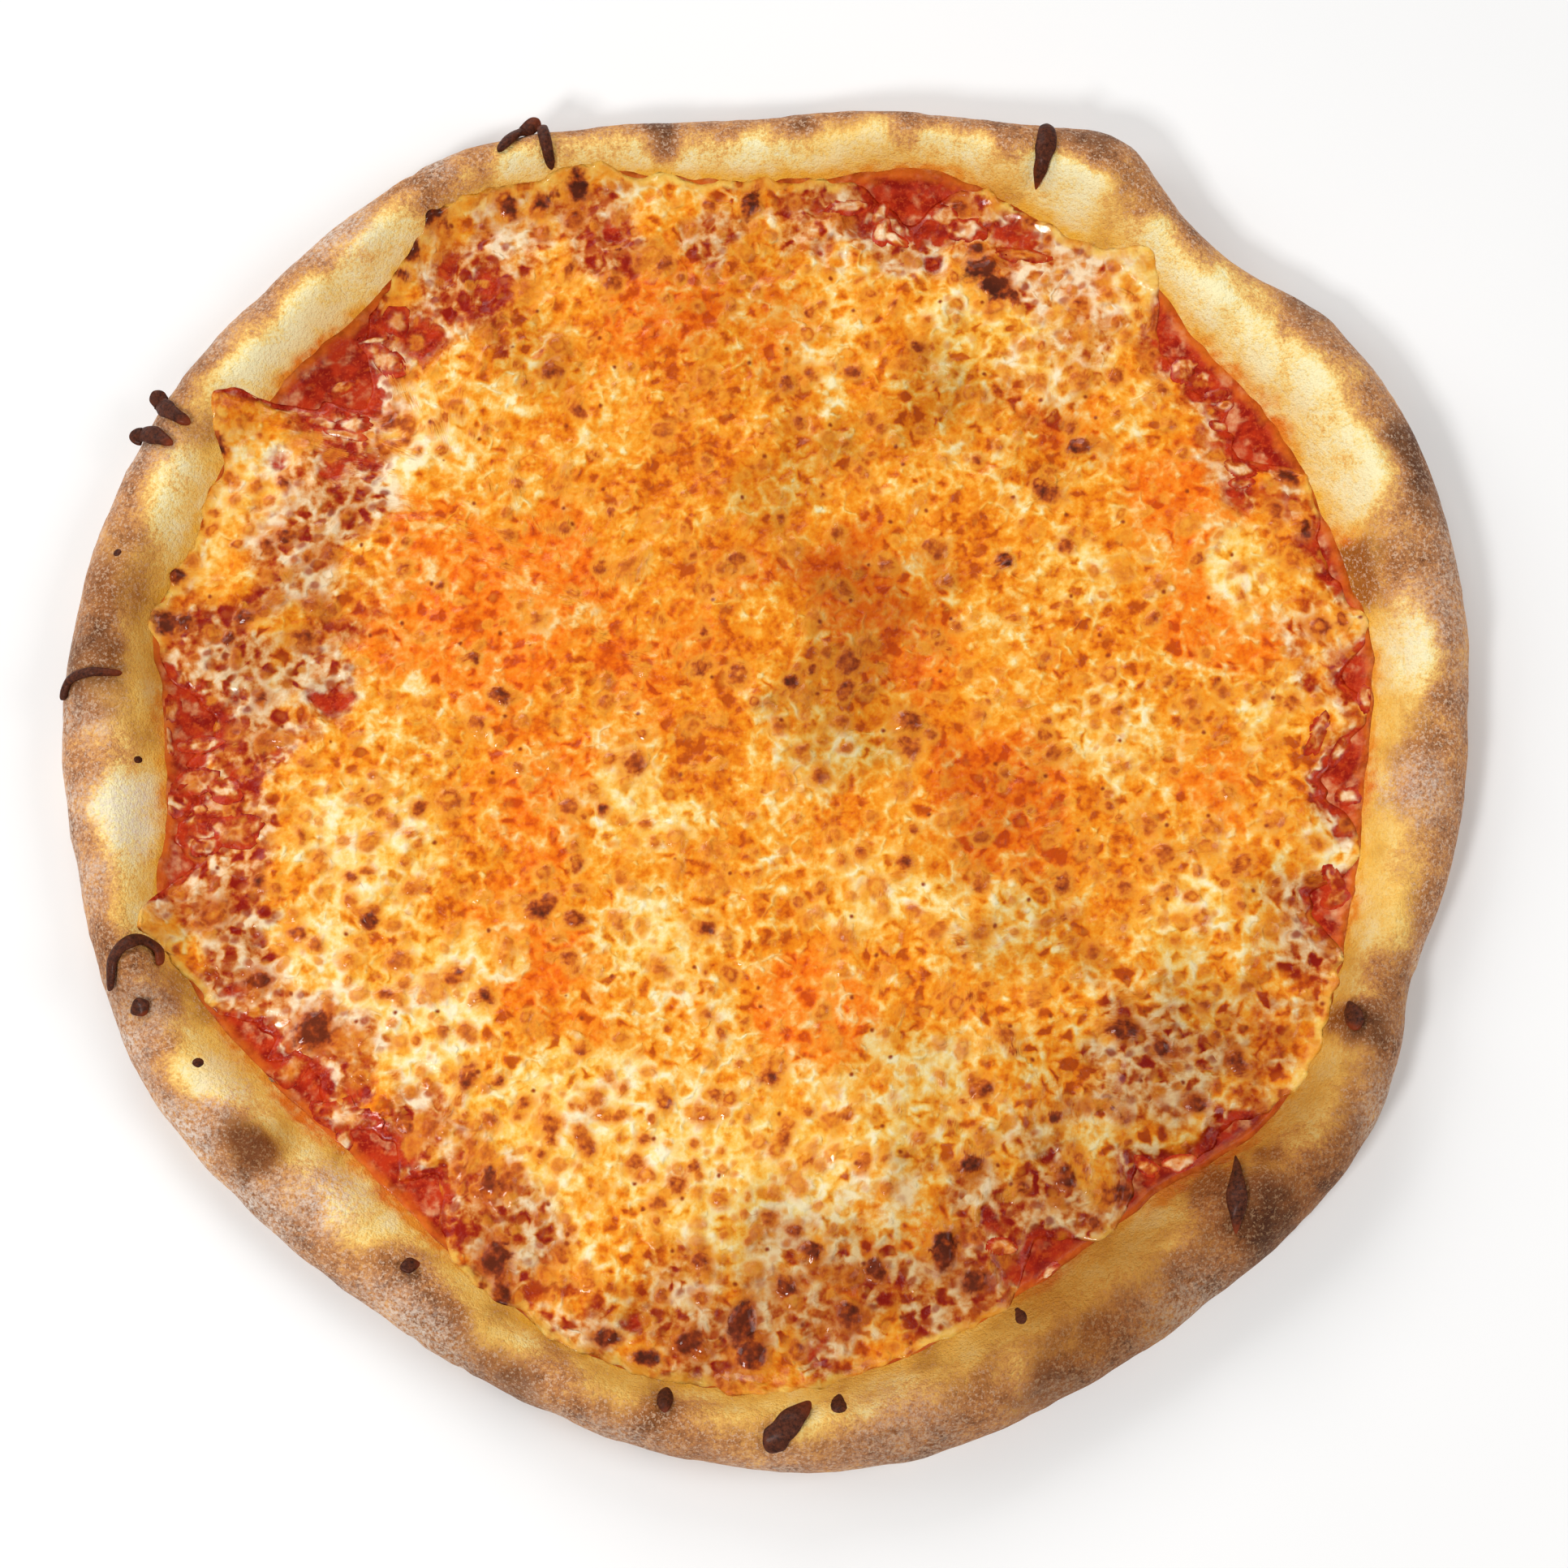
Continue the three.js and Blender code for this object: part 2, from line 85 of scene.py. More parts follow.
def paint(red, green, blue):
    """A colour given as 0 to 255 on a screen, as the linear values that shaders take."""
    values = np.array([red, green, blue]) / 255.0
    linear = np.where(values <= 0.04045, values / 12.92, ((values + 0.055) / 1.055) ** 2.4)
    return (*linear.tolist(), 1.0)


for name, place, width, power in LAMPS:
    data = bpy.data.lights.new(name, "AREA")
    data.size = width
    data.energy = power
    lamp = bpy.data.objects.new(name, data)
    lamp.location = place
    tilt = math.atan2(math.hypot(place[0], place[1]), place[2])
    lamp.rotation_euler = (tilt, 0.0, math.atan2(place[1], place[0]) + math.pi / 2)
    bpy.context.collection.objects.link(lamp)

room = bpy.data.worlds.new("pale_room")
room.use_nodes = True
background = room.node_tree.nodes["Background"].inputs
background["Color"].default_value = paint(*ROOM_COLOUR)
background["Strength"].default_value = ROOM_STRENGTH
bpy.context.scene.world = room
bpy.context.scene.view_settings.view_transform = "Standard"
bpy.context.scene.view_settings.look = "None"

floor_mesh = bpy.data.meshes.new("table_top")
floor_corners = [(-1, -1), (1, -1), (1, 1), (-1, 1)]
floor_mesh.from_pydata(
    [(x * FLOOR_HALF_WIDTH, y * FLOOR_HALF_WIDTH, 0.0) for x, y in floor_corners], [], [(0, 1, 2, 3)]
)
floor = bpy.data.objects.new("table_top", floor_mesh)
bpy.context.collection.objects.link(floor)


class Field:
    """What a shader works out at each point of a surface: a number, a colour or a place. Fields
    are added, subtracted and multiplied like numbers, and each time a node is made for it."""

    def __init__(self, node, output):
        self.tree = node.id_data
        self.socket = node.outputs[output]

    def __add__(self, other):
        return worked_out("ADD", self, other)

    def __sub__(self, other):
        return worked_out("SUBTRACT", self, other)

    def __mul__(self, other):
        return worked_out("MULTIPLY", self, other)

    def __rtruediv__(self, other):
        return worked_out("DIVIDE", other, self)

    __rmul__ = __mul__


def feed(socket, source):
    """Joins a source to a socket: a field by a link, and a colour of 0 to 255, a number or a
    place as the socket's own value."""
    if isinstance(source, Field):
        source.tree.links.new(source.socket, socket)
    elif socket.type == "RGBA":
        socket.default_value = paint(*source)
    else:
        socket.default_value = source


def node_of(tree, kind, inputs, **settings):
    """A node of a kind, with its settings and with a source for some of its inputs."""
    node = tree.nodes.new(kind)
    for setting, value in settings.items():
        setattr(node, setting, value)
    for label, source in inputs.items():
        feed(node.inputs[label], source)
    return node


def worked_out(operation, *sources):
    """One step of arithmetic on fields and plain numbers."""
    tree = next(source.tree for source in sources if isinstance(source, Field))
    return Field(node_of(tree, "ShaderNodeMath", dict(enumerate(sources)), operation=operation), 0)


def lumps_of(place, width_mm, detail=2.0, roughness=0.5, output="Fac"):
    """Noise of 0 to 1 around 0.5, whose lumps are about as wide as the width."""
    inputs = {"Vector": place, "Scale": 0.6 / MM / width_mm, "Detail": detail, "Roughness": roughness}
    return Field(node_of(place.tree, "ShaderNodeTexNoise", inputs), output)


def mix(share, first, second):
    """The first colour where the share is 0, the second where it is 1."""
    inputs = {0: share, 6: first, 7: second}
    return Field(node_of(share.tree, "ShaderNodeMix", inputs, data_type="RGBA", clamp_factor=True), 2)


def fresh_material(name, roughness, gloss=0.25, coat=0.0, coat_roughness=0.1):
    """A material with one Principled shader: the material, the inputs of that shader, and the
    place on the object as a field, in metres."""
    material = bpy.data.materials.new(name)
    material.use_nodes = True
    shader = material.node_tree.nodes["Principled BSDF"].inputs
    shader["Roughness"].default_value = roughness
    shader["Coat Weight"].default_value = coat
    shader["Coat Roughness"].default_value = coat_roughness
    shader["Specular IOR Level"].default_value = gloss
    return material, shader, Field(material.node_tree.nodes.new("ShaderNodeTexCoord"), "Object")


floor_paint, shader, place = fresh_material("pale_table_paint", roughness=0.55)
feed(shader["Base Color"], mix(lumps_of(place, FLOOR_GRAIN), (246, 246, 246), (252, 252, 252)))
floor.data.materials.append(floor_paint)

# ---------------------------------------------------------------- crust
# One round of wheat dough, stretched by hand, so that it is thin in the middle and has a lumpy
# rim. The rim is brown and floury outside and pale inside, where the topping kept it moist.
# Outlines and heights are pairs of an angle and a radius or height.
OUTER_EDGE = [
    (0, 158), (12, 162), (28, 167), (40, 165.5), (47, 160), (53, 161.5), (60.5, 168.5), (68, 162.5),
    (80, 157), (93, 153.5), (104, 156), (118, 161.5), (135, 160.5), (150, 161.5), (165, 160), (180, 158),
    (190, 155.5), (208, 155.5), (222, 151.5), (235, 149.5), (250, 151.5), (265, 155.5), (281, 158),
    (295, 155.5), (310, 155), (325, 157.5), (333, 156), (341, 152), (350, 155.5),
]
BASIN_EDGE = [
    (0, 135.5), (10, 139.5), (20, 139.5), (35, 141), (45, 140.5), (53, 145), (62, 143), (75, 145),
    (84, 139.5), (93, 138), (104, 143.5), (118, 147.5), (130, 142), (142, 142), (152, 142), (160, 139.5),
    (167, 142), (176, 136), (186, 135), (195, 139.5), (205, 136), (216, 130), (228, 127), (240, 131),
    (257, 138.5), (273, 139), (290, 133.5), (309, 129.5), (325, 138), (340, 136), (350, 134.5),
]
CREST_HEIGHT = [
    (0, 17), (28, 20), (47, 15.5), (61, 20.5), (75, 18), (93, 15), (120, 17.5), (150, 16.5), (175, 18),
    (205, 17), (235, 15), (260, 17.5), (281, 18.5), (305, 17.5), (325, 19), (341, 15.5),
]
# x, y, radius and height of the dough's swellings on the inner side of the rim.
DOUGH_SWELLINGS = [
    (138, 45, 9, 2.4), (-113, -85, 12, 2.2), (-138, 15, 10, 2), (104, -95, 12, 2.6), (130, -60, 9, 2.4),
    (-136, -50, 10, 2.6), (55, 139, 8, 1.4), (-95, 118, 10, 1.4),
]
# Creases where the dough was folded: x and y of a middle, half length, heading and bend.
DOUGH_CREASES = [
    (-150, 3, 9, 75, 0.05), (-77, 141, 7, 20, 0.06), (-84, 135, 5, 60, 0), (28, -149, 8, 12, -0.04),
    (-70, -131, 9, 150, 0.03), (143, 20, 6, 100, 0.05), (-118, -92, 7, 135, 0.04),
    (96, -118, 8, 40, 0.03),
]
CREASE_HALF_WIDTH = 0.55
CREASE_DEPTH = 0.65
LIP_HALF_WIDTH = 0.9
LIP_HEIGHT = 0.35
LIP_AWAY = 1.5
TRAY_THICKNESS = 3.6
TRAY_WAVE = 0.3
TRAY_WAVE_LENGTH = 75.0
SLOPE_FOOT = 5.0
OUTER_SHARE = 0.5
BELLY_SHARE = 0.42
RIM_RELIEF_ONSET = 4.0
# Lumps: layers of a strength, a size and a seed.
OUTLINE_LUMPS = [(0.3, 9.0, 31)]
SKIN_BUBBLES = [(0.30, 6.5, 34), (0.13, 3.2, 35)]
SKIN_PIMPLES = [(0.10, 1.7, 36)]
UNDERSIDE_BUMPS = [(1.0, 16.0, 33)]
UNDERSIDE_RELIEF = 0.35
TRAY_START = 0.35
BASE_END = 0.94
NOISE_CIRCLE = 160.0
CRUST_COLUMNS = 1180
TRAY_ROWS = 3
SLOPE_ROWS = 24
SHOULDER_ROWS = 22
BELLY_ROWS = 13
BASE_ROWS = 14


def smooth(share):
    """3 s squared minus 2 s cubed, with s held between 0 and 1."""
    held = np.clip(share, 0.0, 1.0)
    return held * held * (3.0 - 2.0 * held)


def blend(start, end, share):
    """start plus the share of the way to end."""
    return start + (end - start) * share


def around(pairs, angle):
    """A closed curve through (angle, value) pairs: a cubic between neighbours, whose slope at each
    pair is that of the straight line between the pairs on its two sides."""
    turns, values = np.array(pairs, dtype=float).T
    turn = np.mod(angle, 360.0)
    before = np.searchsorted(turns, turn, side="right") - 1
    count = len(turns)
    angles = [turns[(before + step) % count] + 360.0 * ((before + step) // count) for step in (-1, 0, 1, 2)]
    sizes = [values[(before + step) % count] for step in (-1, 0, 1, 2)]
    span = angles[2] - angles[1]
    t = (turn - angles[1]) / span
    slope_in = (sizes[2] - sizes[0]) / (angles[2] - angles[0]) * span
    slope_out = (sizes[3] - sizes[1]) / (angles[3] - angles[1]) * span
    return (
        (2 * t**3 - 3 * t**2 + 1) * sizes[1]
        + (t**3 - 2 * t**2 + t) * slope_in
        + (3 * t**2 - 2 * t**3) * sizes[2]
        + (t**3 - t**2) * slope_out
    )


def mounds(places, x, y):
    """Rounded mounds of (x, y, radius, height), added up: full height over a small flat top, then
    the smooth step down to nothing at the radius."""
    height = np.zeros_like(x)
    for centre_x, centre_y, radius, rise in places:
        away = np.hypot(x - centre_x, y - centre_y) / radius
        height += rise * smooth((1.0 - away) / 0.77)
    return height


def unrest(x, y, length, seed):
    """Six sine waves that cross at the golden angle, each a little longer than the last, added up
    to about -1 to 1."""
    total = np.zeros_like(x)
    for wave in range(1, 7):
        heading = wave * math.radians(137.508) + seed
        along = x * math.cos(heading) + y * math.sin(heading)
        start = 1.7 * (seed + wave * wave)
        total += np.sin(2 * math.pi * along / (length * (0.7 + 0.1 * wave)) + start)
    return 1.6 * total / 6


def grain(x, y, z, size, seed):
    """Noise of -1 to 1: values drawn for the corners of a cubic lattice of the size, blended
    between the eight corners around each point by the smooth step."""
    corners = 64
    drawn = np.random.default_rng(seed).uniform(-1.0, 1.0, (corners, corners, corners))
    place = np.stack(np.broadcast_arrays(x, y, z), axis=-1) / size
    corner = np.floor(place).astype(int)
    share = smooth(place - corner)
    total = np.zeros(place.shape[:-1])
    for step in itertools.product((0, 1), repeat=3):
        weight = np.prod(np.where(np.array(step) == 1, share, 1.0 - share), axis=-1)
        cell = (corner + np.array(step)) % corners
        total += weight * drawn[cell[..., 0], cell[..., 1], cell[..., 2]]
    return total


def grains_of(x, y, z, layers):
    """Noise of several sizes, added up: each layer is a strength, a size and a seed."""
    return sum(strength * grain(x, y, z, size, seed) for strength, size, seed in layers)


def angle_of(x, y):
    """The angle of a place in degrees."""
    return np.degrees(np.arctan2(y, x))


def place_at(angle, radius):
    """x and y: the radius times the cosine and the sine of the angle."""
    return radius * np.cos(np.radians(angle)), radius * np.sin(np.radians(angle))


def outline_lumps(angle, layers):
    """Noise of several sizes for an outline, read along a circle."""
    return grains_of(*place_at(angle, NOISE_CIRCLE), 0.0, layers)


def tray_height(x, y):
    """The tray's thickness plus a slow wave."""
    return TRAY_THICKNESS + TRAY_WAVE * unrest(x, y, TRAY_WAVE_LENGTH, 1)


def rim_relief(x, y, past_basin):
    """Lumps, smaller bubbles and the list of swellings, growing from the basin's edge outwards."""
    lumps = 0.7 * unrest(x, y, 24.0, 3) + 0.3 * unrest(x, y, 13.0, 4)
    return smooth(past_basin / RIM_RELIEF_ONSET) * (lumps + mounds(DOUGH_SWELLINGS, x, y))


def crust_top(x, y):
    """Height of the crust's upper side: the tray, the smooth step up to the rim's crest, then a
    quarter of an ellipse down to the belly, where the rim is widest."""
    angle = angle_of(x, y)
    radius = np.hypot(x, y)
    outer = around(OUTER_EDGE, angle)
    basin = around(BASIN_EDGE, angle)
    crest = outer - OUTER_SHARE * (outer - basin)
    height = around(CREST_HEIGHT, angle)
    foot = basin - SLOPE_FOOT
    relief = rim_relief(x, y, radius - basin)
    slope = blend(tray_height(x, y), height, smooth((radius - foot) / (crest - foot))) + relief
    out = np.clip((radius - crest) / (outer - crest), 0.0, 1.0)
    drop = np.sqrt(1.0 - out * out)
    shoulder = blend(BELLY_SHARE * height, height, drop) + relief * drop
    return np.where(radius > crest, shoulder, slope)


def along_normals(x, y, z, push):
    """Moves a grid of points by a push along its normals. Columns run round and close; the normal
    is the cross product of the differences down the rows and along the columns."""
    points = np.stack([x, y, z], axis=-1)
    down = np.gradient(points, axis=0)
    across = np.roll(points, -1, axis=1) - np.roll(points, 1, axis=1)
    normal = np.cross(down, across)
    normal /= np.maximum(np.linalg.norm(normal, axis=-1, keepdims=True), 1e-9)
    return points + normal * push[..., None]


def make_piece(name, points, faces, numbers):
    """A smooth-shaded mesh object of points in millimetres. Each entry of numbers becomes an
    attribute with one value for each point."""
    mesh = bpy.data.meshes.new(name)
    corners = np.concatenate([np.asarray(part).reshape(-1) for part in faces])
    sizes = np.concatenate([np.full(len(part), np.asarray(part).shape[1]) for part in faces])
    mesh.vertices.add(len(points))
    mesh.vertices.foreach_set("co", (np.asarray(points) * MM).astype(np.float32).reshape(-1))
    mesh.loops.add(len(corners))
    mesh.loops.foreach_set("vertex_index", corners.astype(np.int32))
    mesh.polygons.add(len(sizes))
    mesh.polygons.foreach_set("loop_start", (np.cumsum(sizes) - sizes).astype(np.int32))
    mesh.polygons.foreach_set("use_smooth", np.ones(len(sizes), dtype=bool))
    mesh.update(calc_edges=True)
    mesh.validate()
    for label, values in numbers.items():
        layer = mesh.attributes.new(label, "FLOAT", "POINT")
        layer.data.foreach_set("value", np.asarray(values, dtype=np.float32).reshape(-1))
    piece = bpy.data.objects.new(name, mesh)
    bpy.context.collection.objects.link(piece)
    return piece


def ring_faces(rows, columns):
    """Quads between the rows of a grid whose columns close round. Rows go from the middle of the
    upper side outwards, so that the faces point out."""
    row, column = np.meshgrid(np.arange(rows - 1), np.arange(columns), indexing="ij")
    near = row * columns
    far = near + columns
    after = (column + 1) % columns
    return np.stack([near + column, far + column, far + after, near + after], axis=-1).reshape(-1, 4)


def fan_faces(pole, ring, outwards):
    """Triangles from a pole to a closed ring of point numbers."""
    after = np.roll(ring, -1)
    pair = (ring, after) if outwards else (after, ring)
    return np.stack([np.full(len(ring), pole), *pair], axis=-1)


def crease_depth(x, y):
    """Grooves with a lip: each is a parabola about its middle, as deep as a bell of the distance
    from the parabola, fading out at both ends."""
    depth = np.zeros_like(x)
    for middle_x, middle_y, half_length, heading, bend in DOUGH_CREASES:
        turn = math.radians(heading)
        along = (x - middle_x) * math.cos(turn) + (y - middle_y) * math.sin(turn)
        side = (y - middle_y) * math.cos(turn) - (x - middle_x) * math.sin(turn) - bend * along**2
        fade = smooth(1.5 * (1.0 - np.abs(along) / half_length))
        groove = CREASE_DEPTH * np.exp(-((side / CREASE_HALF_WIDTH) ** 2))
        depth += fade * (groove - LIP_HEIGHT * np.exp(-(((side - LIP_AWAY) / LIP_HALF_WIDTH) ** 2)))
    return depth


def down_rows(count, start=0.0, end=1.0):
    """Even steps down the rows of a grid, from the start up to the row before the end."""
    return np.linspace(start, end, count, endpoint=False)[:, None]


turn = np.linspace(0.0, 360.0, CRUST_COLUMNS, endpoint=False)[None, :]
cosine, sine = place_at(turn, 1.0)
outer = around(OUTER_EDGE, turn) + outline_lumps(turn, OUTLINE_LUMPS)
basin = around(BASIN_EDGE, turn)
crest = outer - OUTER_SHARE * (outer - basin)
crest_height = around(CREST_HEIGHT, turn)
belly = BELLY_SHARE * crest_height
foot = basin - SLOPE_FOOT

tray_radius = blend(TRAY_START, 1.0, down_rows(TRAY_ROWS)) * foot
upper_radius = np.concatenate([tray_radius, blend(foot, crest, down_rows(SLOPE_ROWS))])
upper_height = crust_top(upper_radius * cosine, upper_radius * sine)
bend = np.radians(down_rows(SHOULDER_ROWS, 90.0, 0.0))
shoulder_radius = blend(crest, outer, np.cos(bend))
shoulder_relief = rim_relief(shoulder_radius * cosine, shoulder_radius * sine, shoulder_radius - basin)
shoulder_height = blend(belly, crest_height, np.sin(bend)) + shoulder_relief * np.sin(bend)
bend = np.radians(down_rows(BELLY_ROWS, 0.0, -90.0))
belly_radius = blend(crest, outer, np.cos(bend) ** 0.5)
belly_height = belly * (1.0 + np.sin(bend))
share = np.linspace(0.0, BASE_END, BASE_ROWS)[:, None]
base_radius = crest * (1.0 - share)
base_bumps = smooth(grains_of(base_radius * cosine, base_radius * sine, 0.0, UNDERSIDE_BUMPS))
base_height = UNDERSIDE_RELIEF * base_bumps * smooth(8 * share)
radius = np.concatenate([upper_radius, shoulder_radius, belly_radius, base_radius])
height = np.concatenate([upper_height, shoulder_height, belly_height, base_height])
x = radius * cosine
y = radius * sine
on_rim = smooth((radius - basin + 1.0) / RIM_RELIEF_ONSET)
on_rim[-BASE_ROWS:] = 0.0
skin = grains_of(x, y, height, SKIN_BUBBLES) - crease_depth(x, y)
skin += np.maximum(grains_of(x, y, height, SKIN_PIMPLES), 0.0)
points = along_normals(x, y, height, on_rim * skin)
points[..., 2] = np.maximum(points[..., 2], 0.0)

# How far a point is from the basin's edge (0) to the crest (1), the belly (2) and the base (3).
rim_band = np.concatenate([
    np.clip((upper_radius - basin) / (crest - basin), -1.0, 1.0),
    1.0 + down_rows(SHOULDER_ROWS) + 0.0 * turn,
    2.0 + down_rows(BELLY_ROWS) + 0.0 * turn,
    3.0 + 0.0 * base_radius,
])

# Where the rim stayed pale, where it is golden from oil, browned, dark, or grey with flour:
# x, y, radius and strength.
PALE_DOUGH = [
    (122, 88, 15, 1), (132, 66, 13, 1), (108, 106, 13, 1), (92, 120, 9, 1), (70, 133, 9, 1),
    (0, 143, 12, 0.5), (-30, 141, 9, 0.4), (146, 22, 9, 0.9), (20, 148, 9, 0.8), (-22, 146, 10, 0.9),
    (45, 146, 8, 0.5), (-105, 100, 15, 1), (-90, 115, 12, 0.9), (-120, 88, 9, 0.9), (-134, 60, 9, 0.5),
    (-141, -14, 10, 1), (-124, -73, 10, 0.8), (138, -38, 9, 0.2), (-86, -104, 9, 0.6), (85, -106, 8, 0.3),
    (-30, -141, 8, 0.2), (-58, 143, 8, 0.5),
]
OILY_DOUGH = [
    (121, -75, 13, 0.9), (-113, -64, 10, 0.5), (-139, 8, 10, 0.9), (-30, -138, 12, 0.8),
    (10, -141, 13, 0.7), (-60, -126, 12, 0.8), (60, -124, 13, 0.8), (105, -90, 9, 0.8),
    (-150, 45, 10, 0.6), (139, 5, 8, 0.7), (139, -36, 11, 1), (138, -20, 8, 0.6), (-126, 78, 9, 0.5),
    (84, 130, 8, 0.5), (135, 45, 8, 0.8), (-85, -108, 8, 0.5), (-110, -89, 9, 1), (20, 143, 10, 0.6),
    (-60, -128, 10, 0.6), (-100, 104, 7, 0.4), (40, -135, 10, 0.8), (-138, -35, 8, 0.6),
    (-144, 40, 11, 0.8), (-145, 14, 9, 0.8), (82, -110, 12, 0.9), (66, -124, 12, 0.9), (0, -143, 12, 0.8),
    (-120, -68, 10, 0.7),
]
BROWN_DOUGH = [
    (160, -8, 9, 0.5), (152, -42, 11, 0.7), (140, -78, 12, 0.7), (118, -106, 12, 0.8),
    (88, -131, 12, 0.5), (158, 30, 10, 0.7), (152, 74, 10, 0.9), (138, 100, 10, 0.9), (58, 152, 8, 0.7),
    (-30, 154, 8, 0.5), (116, 122, 9, 0.6), (161, 8, 9, 0.6), (157, -26, 9, 0.6), (-146, 62, 9, 0.6),
    (-150, 12, 8, 0.6), (20, -156, 12, 0.4), (20, 155, 8, 0.5), (-60, -140, 9, 0.3), (-132, -64, 8, 0.4),
    (92, 138, 8, 0.6), (138, 44, 9, 1), (-111, -90, 7, 1), (130, -61, 8, 1), (146, -6, 8, 0.5),
    (153, -8, 13, 1), (143, 84, 13, 0.9), (2, 154, 7, 0.7), (105, -100, 12, 1), (-136, -50, 9, 0.9),
    (-45, -140, 12, 0.5), (78, 146, 10, 0.8), (103, 128, 12, 0.8), (-26, 150, 7, 0.8), (6, 153, 7, 0.9),
    (-148, 42, 11, 0.8), (-149, 16, 8, 0.8), (-151, 0, 6, 0.5), (98, -114, 14, 0.7), (70, -131, 13, 0.7),
    (40, -146, 13, 0.6), (-18, -147, 11, 0.6), (-82, -118, 11, 0.7), (-73, 129, 6, 0.7),
    (-12, 149, 7, 0.6), (-78, 133, 8, 0.5), (-150, 50, 8, 0.4), (-150, -40, 10, 0.4), (150, -8, 8, 0.6),
    (-66, 139, 6, 0.4),
]
DARK_DOUGH = [
    (146, 72, 8, 0.8), (128, 104, 8, 0.5), (135, 46, 5, 0.5), (108, -102, 8, 0.6), (131, -62, 6, 0.7),
    (78, 147, 6, 0.6), (-55, -141, 9, 0.5), (-25, 151, 4, 0.7), (5, 154, 4, 0.7), (-113, -84, 6, 0.4),
    (-115, -103, 8, 0.4), (106, -118, 8, 0.3), (-151, 20, 6, 0.4), (151, 60, 6, 0.5), (60, -143, 8, 0.3),
]
FLOURED_DOUGH = [
    (143, -9, 8, 0.6), (-141, -14, 10, 0.9), (-95, -99, 9, 0.9), (-118, -76, 7, 0.8),
    (-112, -104, 13, 0.9), (-84, -126, 10, 0.7), (-140, -62, 9, 0.6), (-77, 142, 6, 0.9),
    (-125, -86, 8, 0.8), (-70, -132, 10, 1), (-148, 5, 7, 0.6), (90, -125, 14, 0.8), (30, -150, 14, 0.5),
    (150, 30, 10, 0.4), (-152, -30, 9, 0.7), (134, -80, 9, 0.7), (-100, 125, 12, 0.6), (-140, 70, 8, 0.4),
]
# Where bare sauce coloured the brim orange: angle, strength and half width.
STAINED_BRIM = [
    (8.5, 0.5, 3), (20, 0.9, 3), (34.5, 1, 4), (41, 0.9, 4), (76, 0.7, 8), (138, 0.9, 6), (176, 0.6, 4),
    (184, 0.6, 4), (209, 0.8, 4), (219, 1.3, 6), (229, 1, 6), (236, 0.8, 4), (299, 0.8, 4), (316, 0.9, 7),
    (345, 0.7, 3), (358, 0.9, 5),
]
# Where the rim is duller and browner, and where shade is painted into its colour: x, y, radius and
# strength.
DULL_AND_SHADED_DOUGH = [
    (106, -90, 34, 0.9), (70, -120, 30, 1), (132, -56, 18, 0.6), (34, -146, 24, 0.5),
    (-26, -148, 26, 0.25), (-62, -134, 16, 0.4), (-111, -88, 8, 1), (-138, 84, 14, 0.3),
    (-142, 28, 24, 0.4), (-140, -50, 14, 0.4),
]
# Lumps in the outlines of these zones, in the bands round the rim, in the toast and in the flour.
RAGGED_DOUGH = [(4.0, 11.0, 41), (2.0, 4.5, 42)]
WANDERING_BANDS = [(0.30, 14.0, 43), (0.20, 5.0, 44)]
UNEVEN_TOAST = [(0.12, 22.0, 46)]
FLOUR_DRIFTS = [(0.6, 17.0, 45)]


def strongest(bells, angle):
    """The largest of a list of (angle, size, half width) bells."""
    most = np.zeros_like(angle)
    for centre, size, half_width in bells:
        away = (angle - centre + 540.0) % 360.0 - 180.0
        most = np.maximum(most, size * np.exp(-((away / half_width) ** 2)))
    return most


def patches(places, x, y, ragged):
    """Soft spots of (x, y, radius, strength), joined so that they never pass 1: one minus the
    product of what each leaves. Ragged is added to the distance from each centre."""
    left = np.ones_like(x)
    for centre_x, centre_y, radius, strength in places:
        away = (np.hypot(x - centre_x, y - centre_y) + ragged) / radius
        left *= 1.0 - strength * smooth(1.35 - away)
    return 1.0 - left


px, py, pz = points[..., 0], points[..., 1], points[..., 2]
ragged = grains_of(px, py, pz, RAGGED_DOUGH)
pale = patches(PALE_DOUGH, px, py, ragged)
oily = patches(OILY_DOUGH, px, py, ragged)
brown = patches(BROWN_DOUGH, px, py, ragged)
dark = patches(DARK_DOUGH, px, py, ragged)
floured = patches(FLOURED_DOUGH, px, py, ragged)
wander = grains_of(px, py, pz, WANDERING_BANDS)
stained = strongest(STAINED_BRIM, angle_of(px, py))
toast = 0.26 + 0.42 * smooth((rim_band + wander - 0.5) / 0.9) + grains_of(px, py, pz, UNEVEN_TOAST)
pale_toast = 0.04 + 0.56 * smooth((rim_band + 0.5 * wander - 0.85) / 0.6)
toast = blend(toast, pale_toast, pale)
toast = blend(toast, np.maximum(toast, 0.72), 0.9 * brown)
toast = blend(toast, 1.0, 0.8 * dark)
moist = (1.0 - 0.75 * pale) * smooth((0.62 + 0.5 * wander - rim_band) / 0.5)
soaked = 0.9 * oily * smooth(1.8 - rim_band) + moist
soaked = np.clip(np.maximum(soaked, 0.9 * smooth((0.2 + 0.4 * wander - rim_band) / 0.3)), 0.0, 1.0)
flour_drift = 0.55 + grains_of(px, py, pz, FLOUR_DRIFTS)
flour = smooth((rim_band + 0.7 * wander - 1.2) / 0.7) * flour_drift + floured * smooth(2.5 * rim_band)
flour *= 1.0 - 0.8 * oily * smooth(2.2 - rim_band)

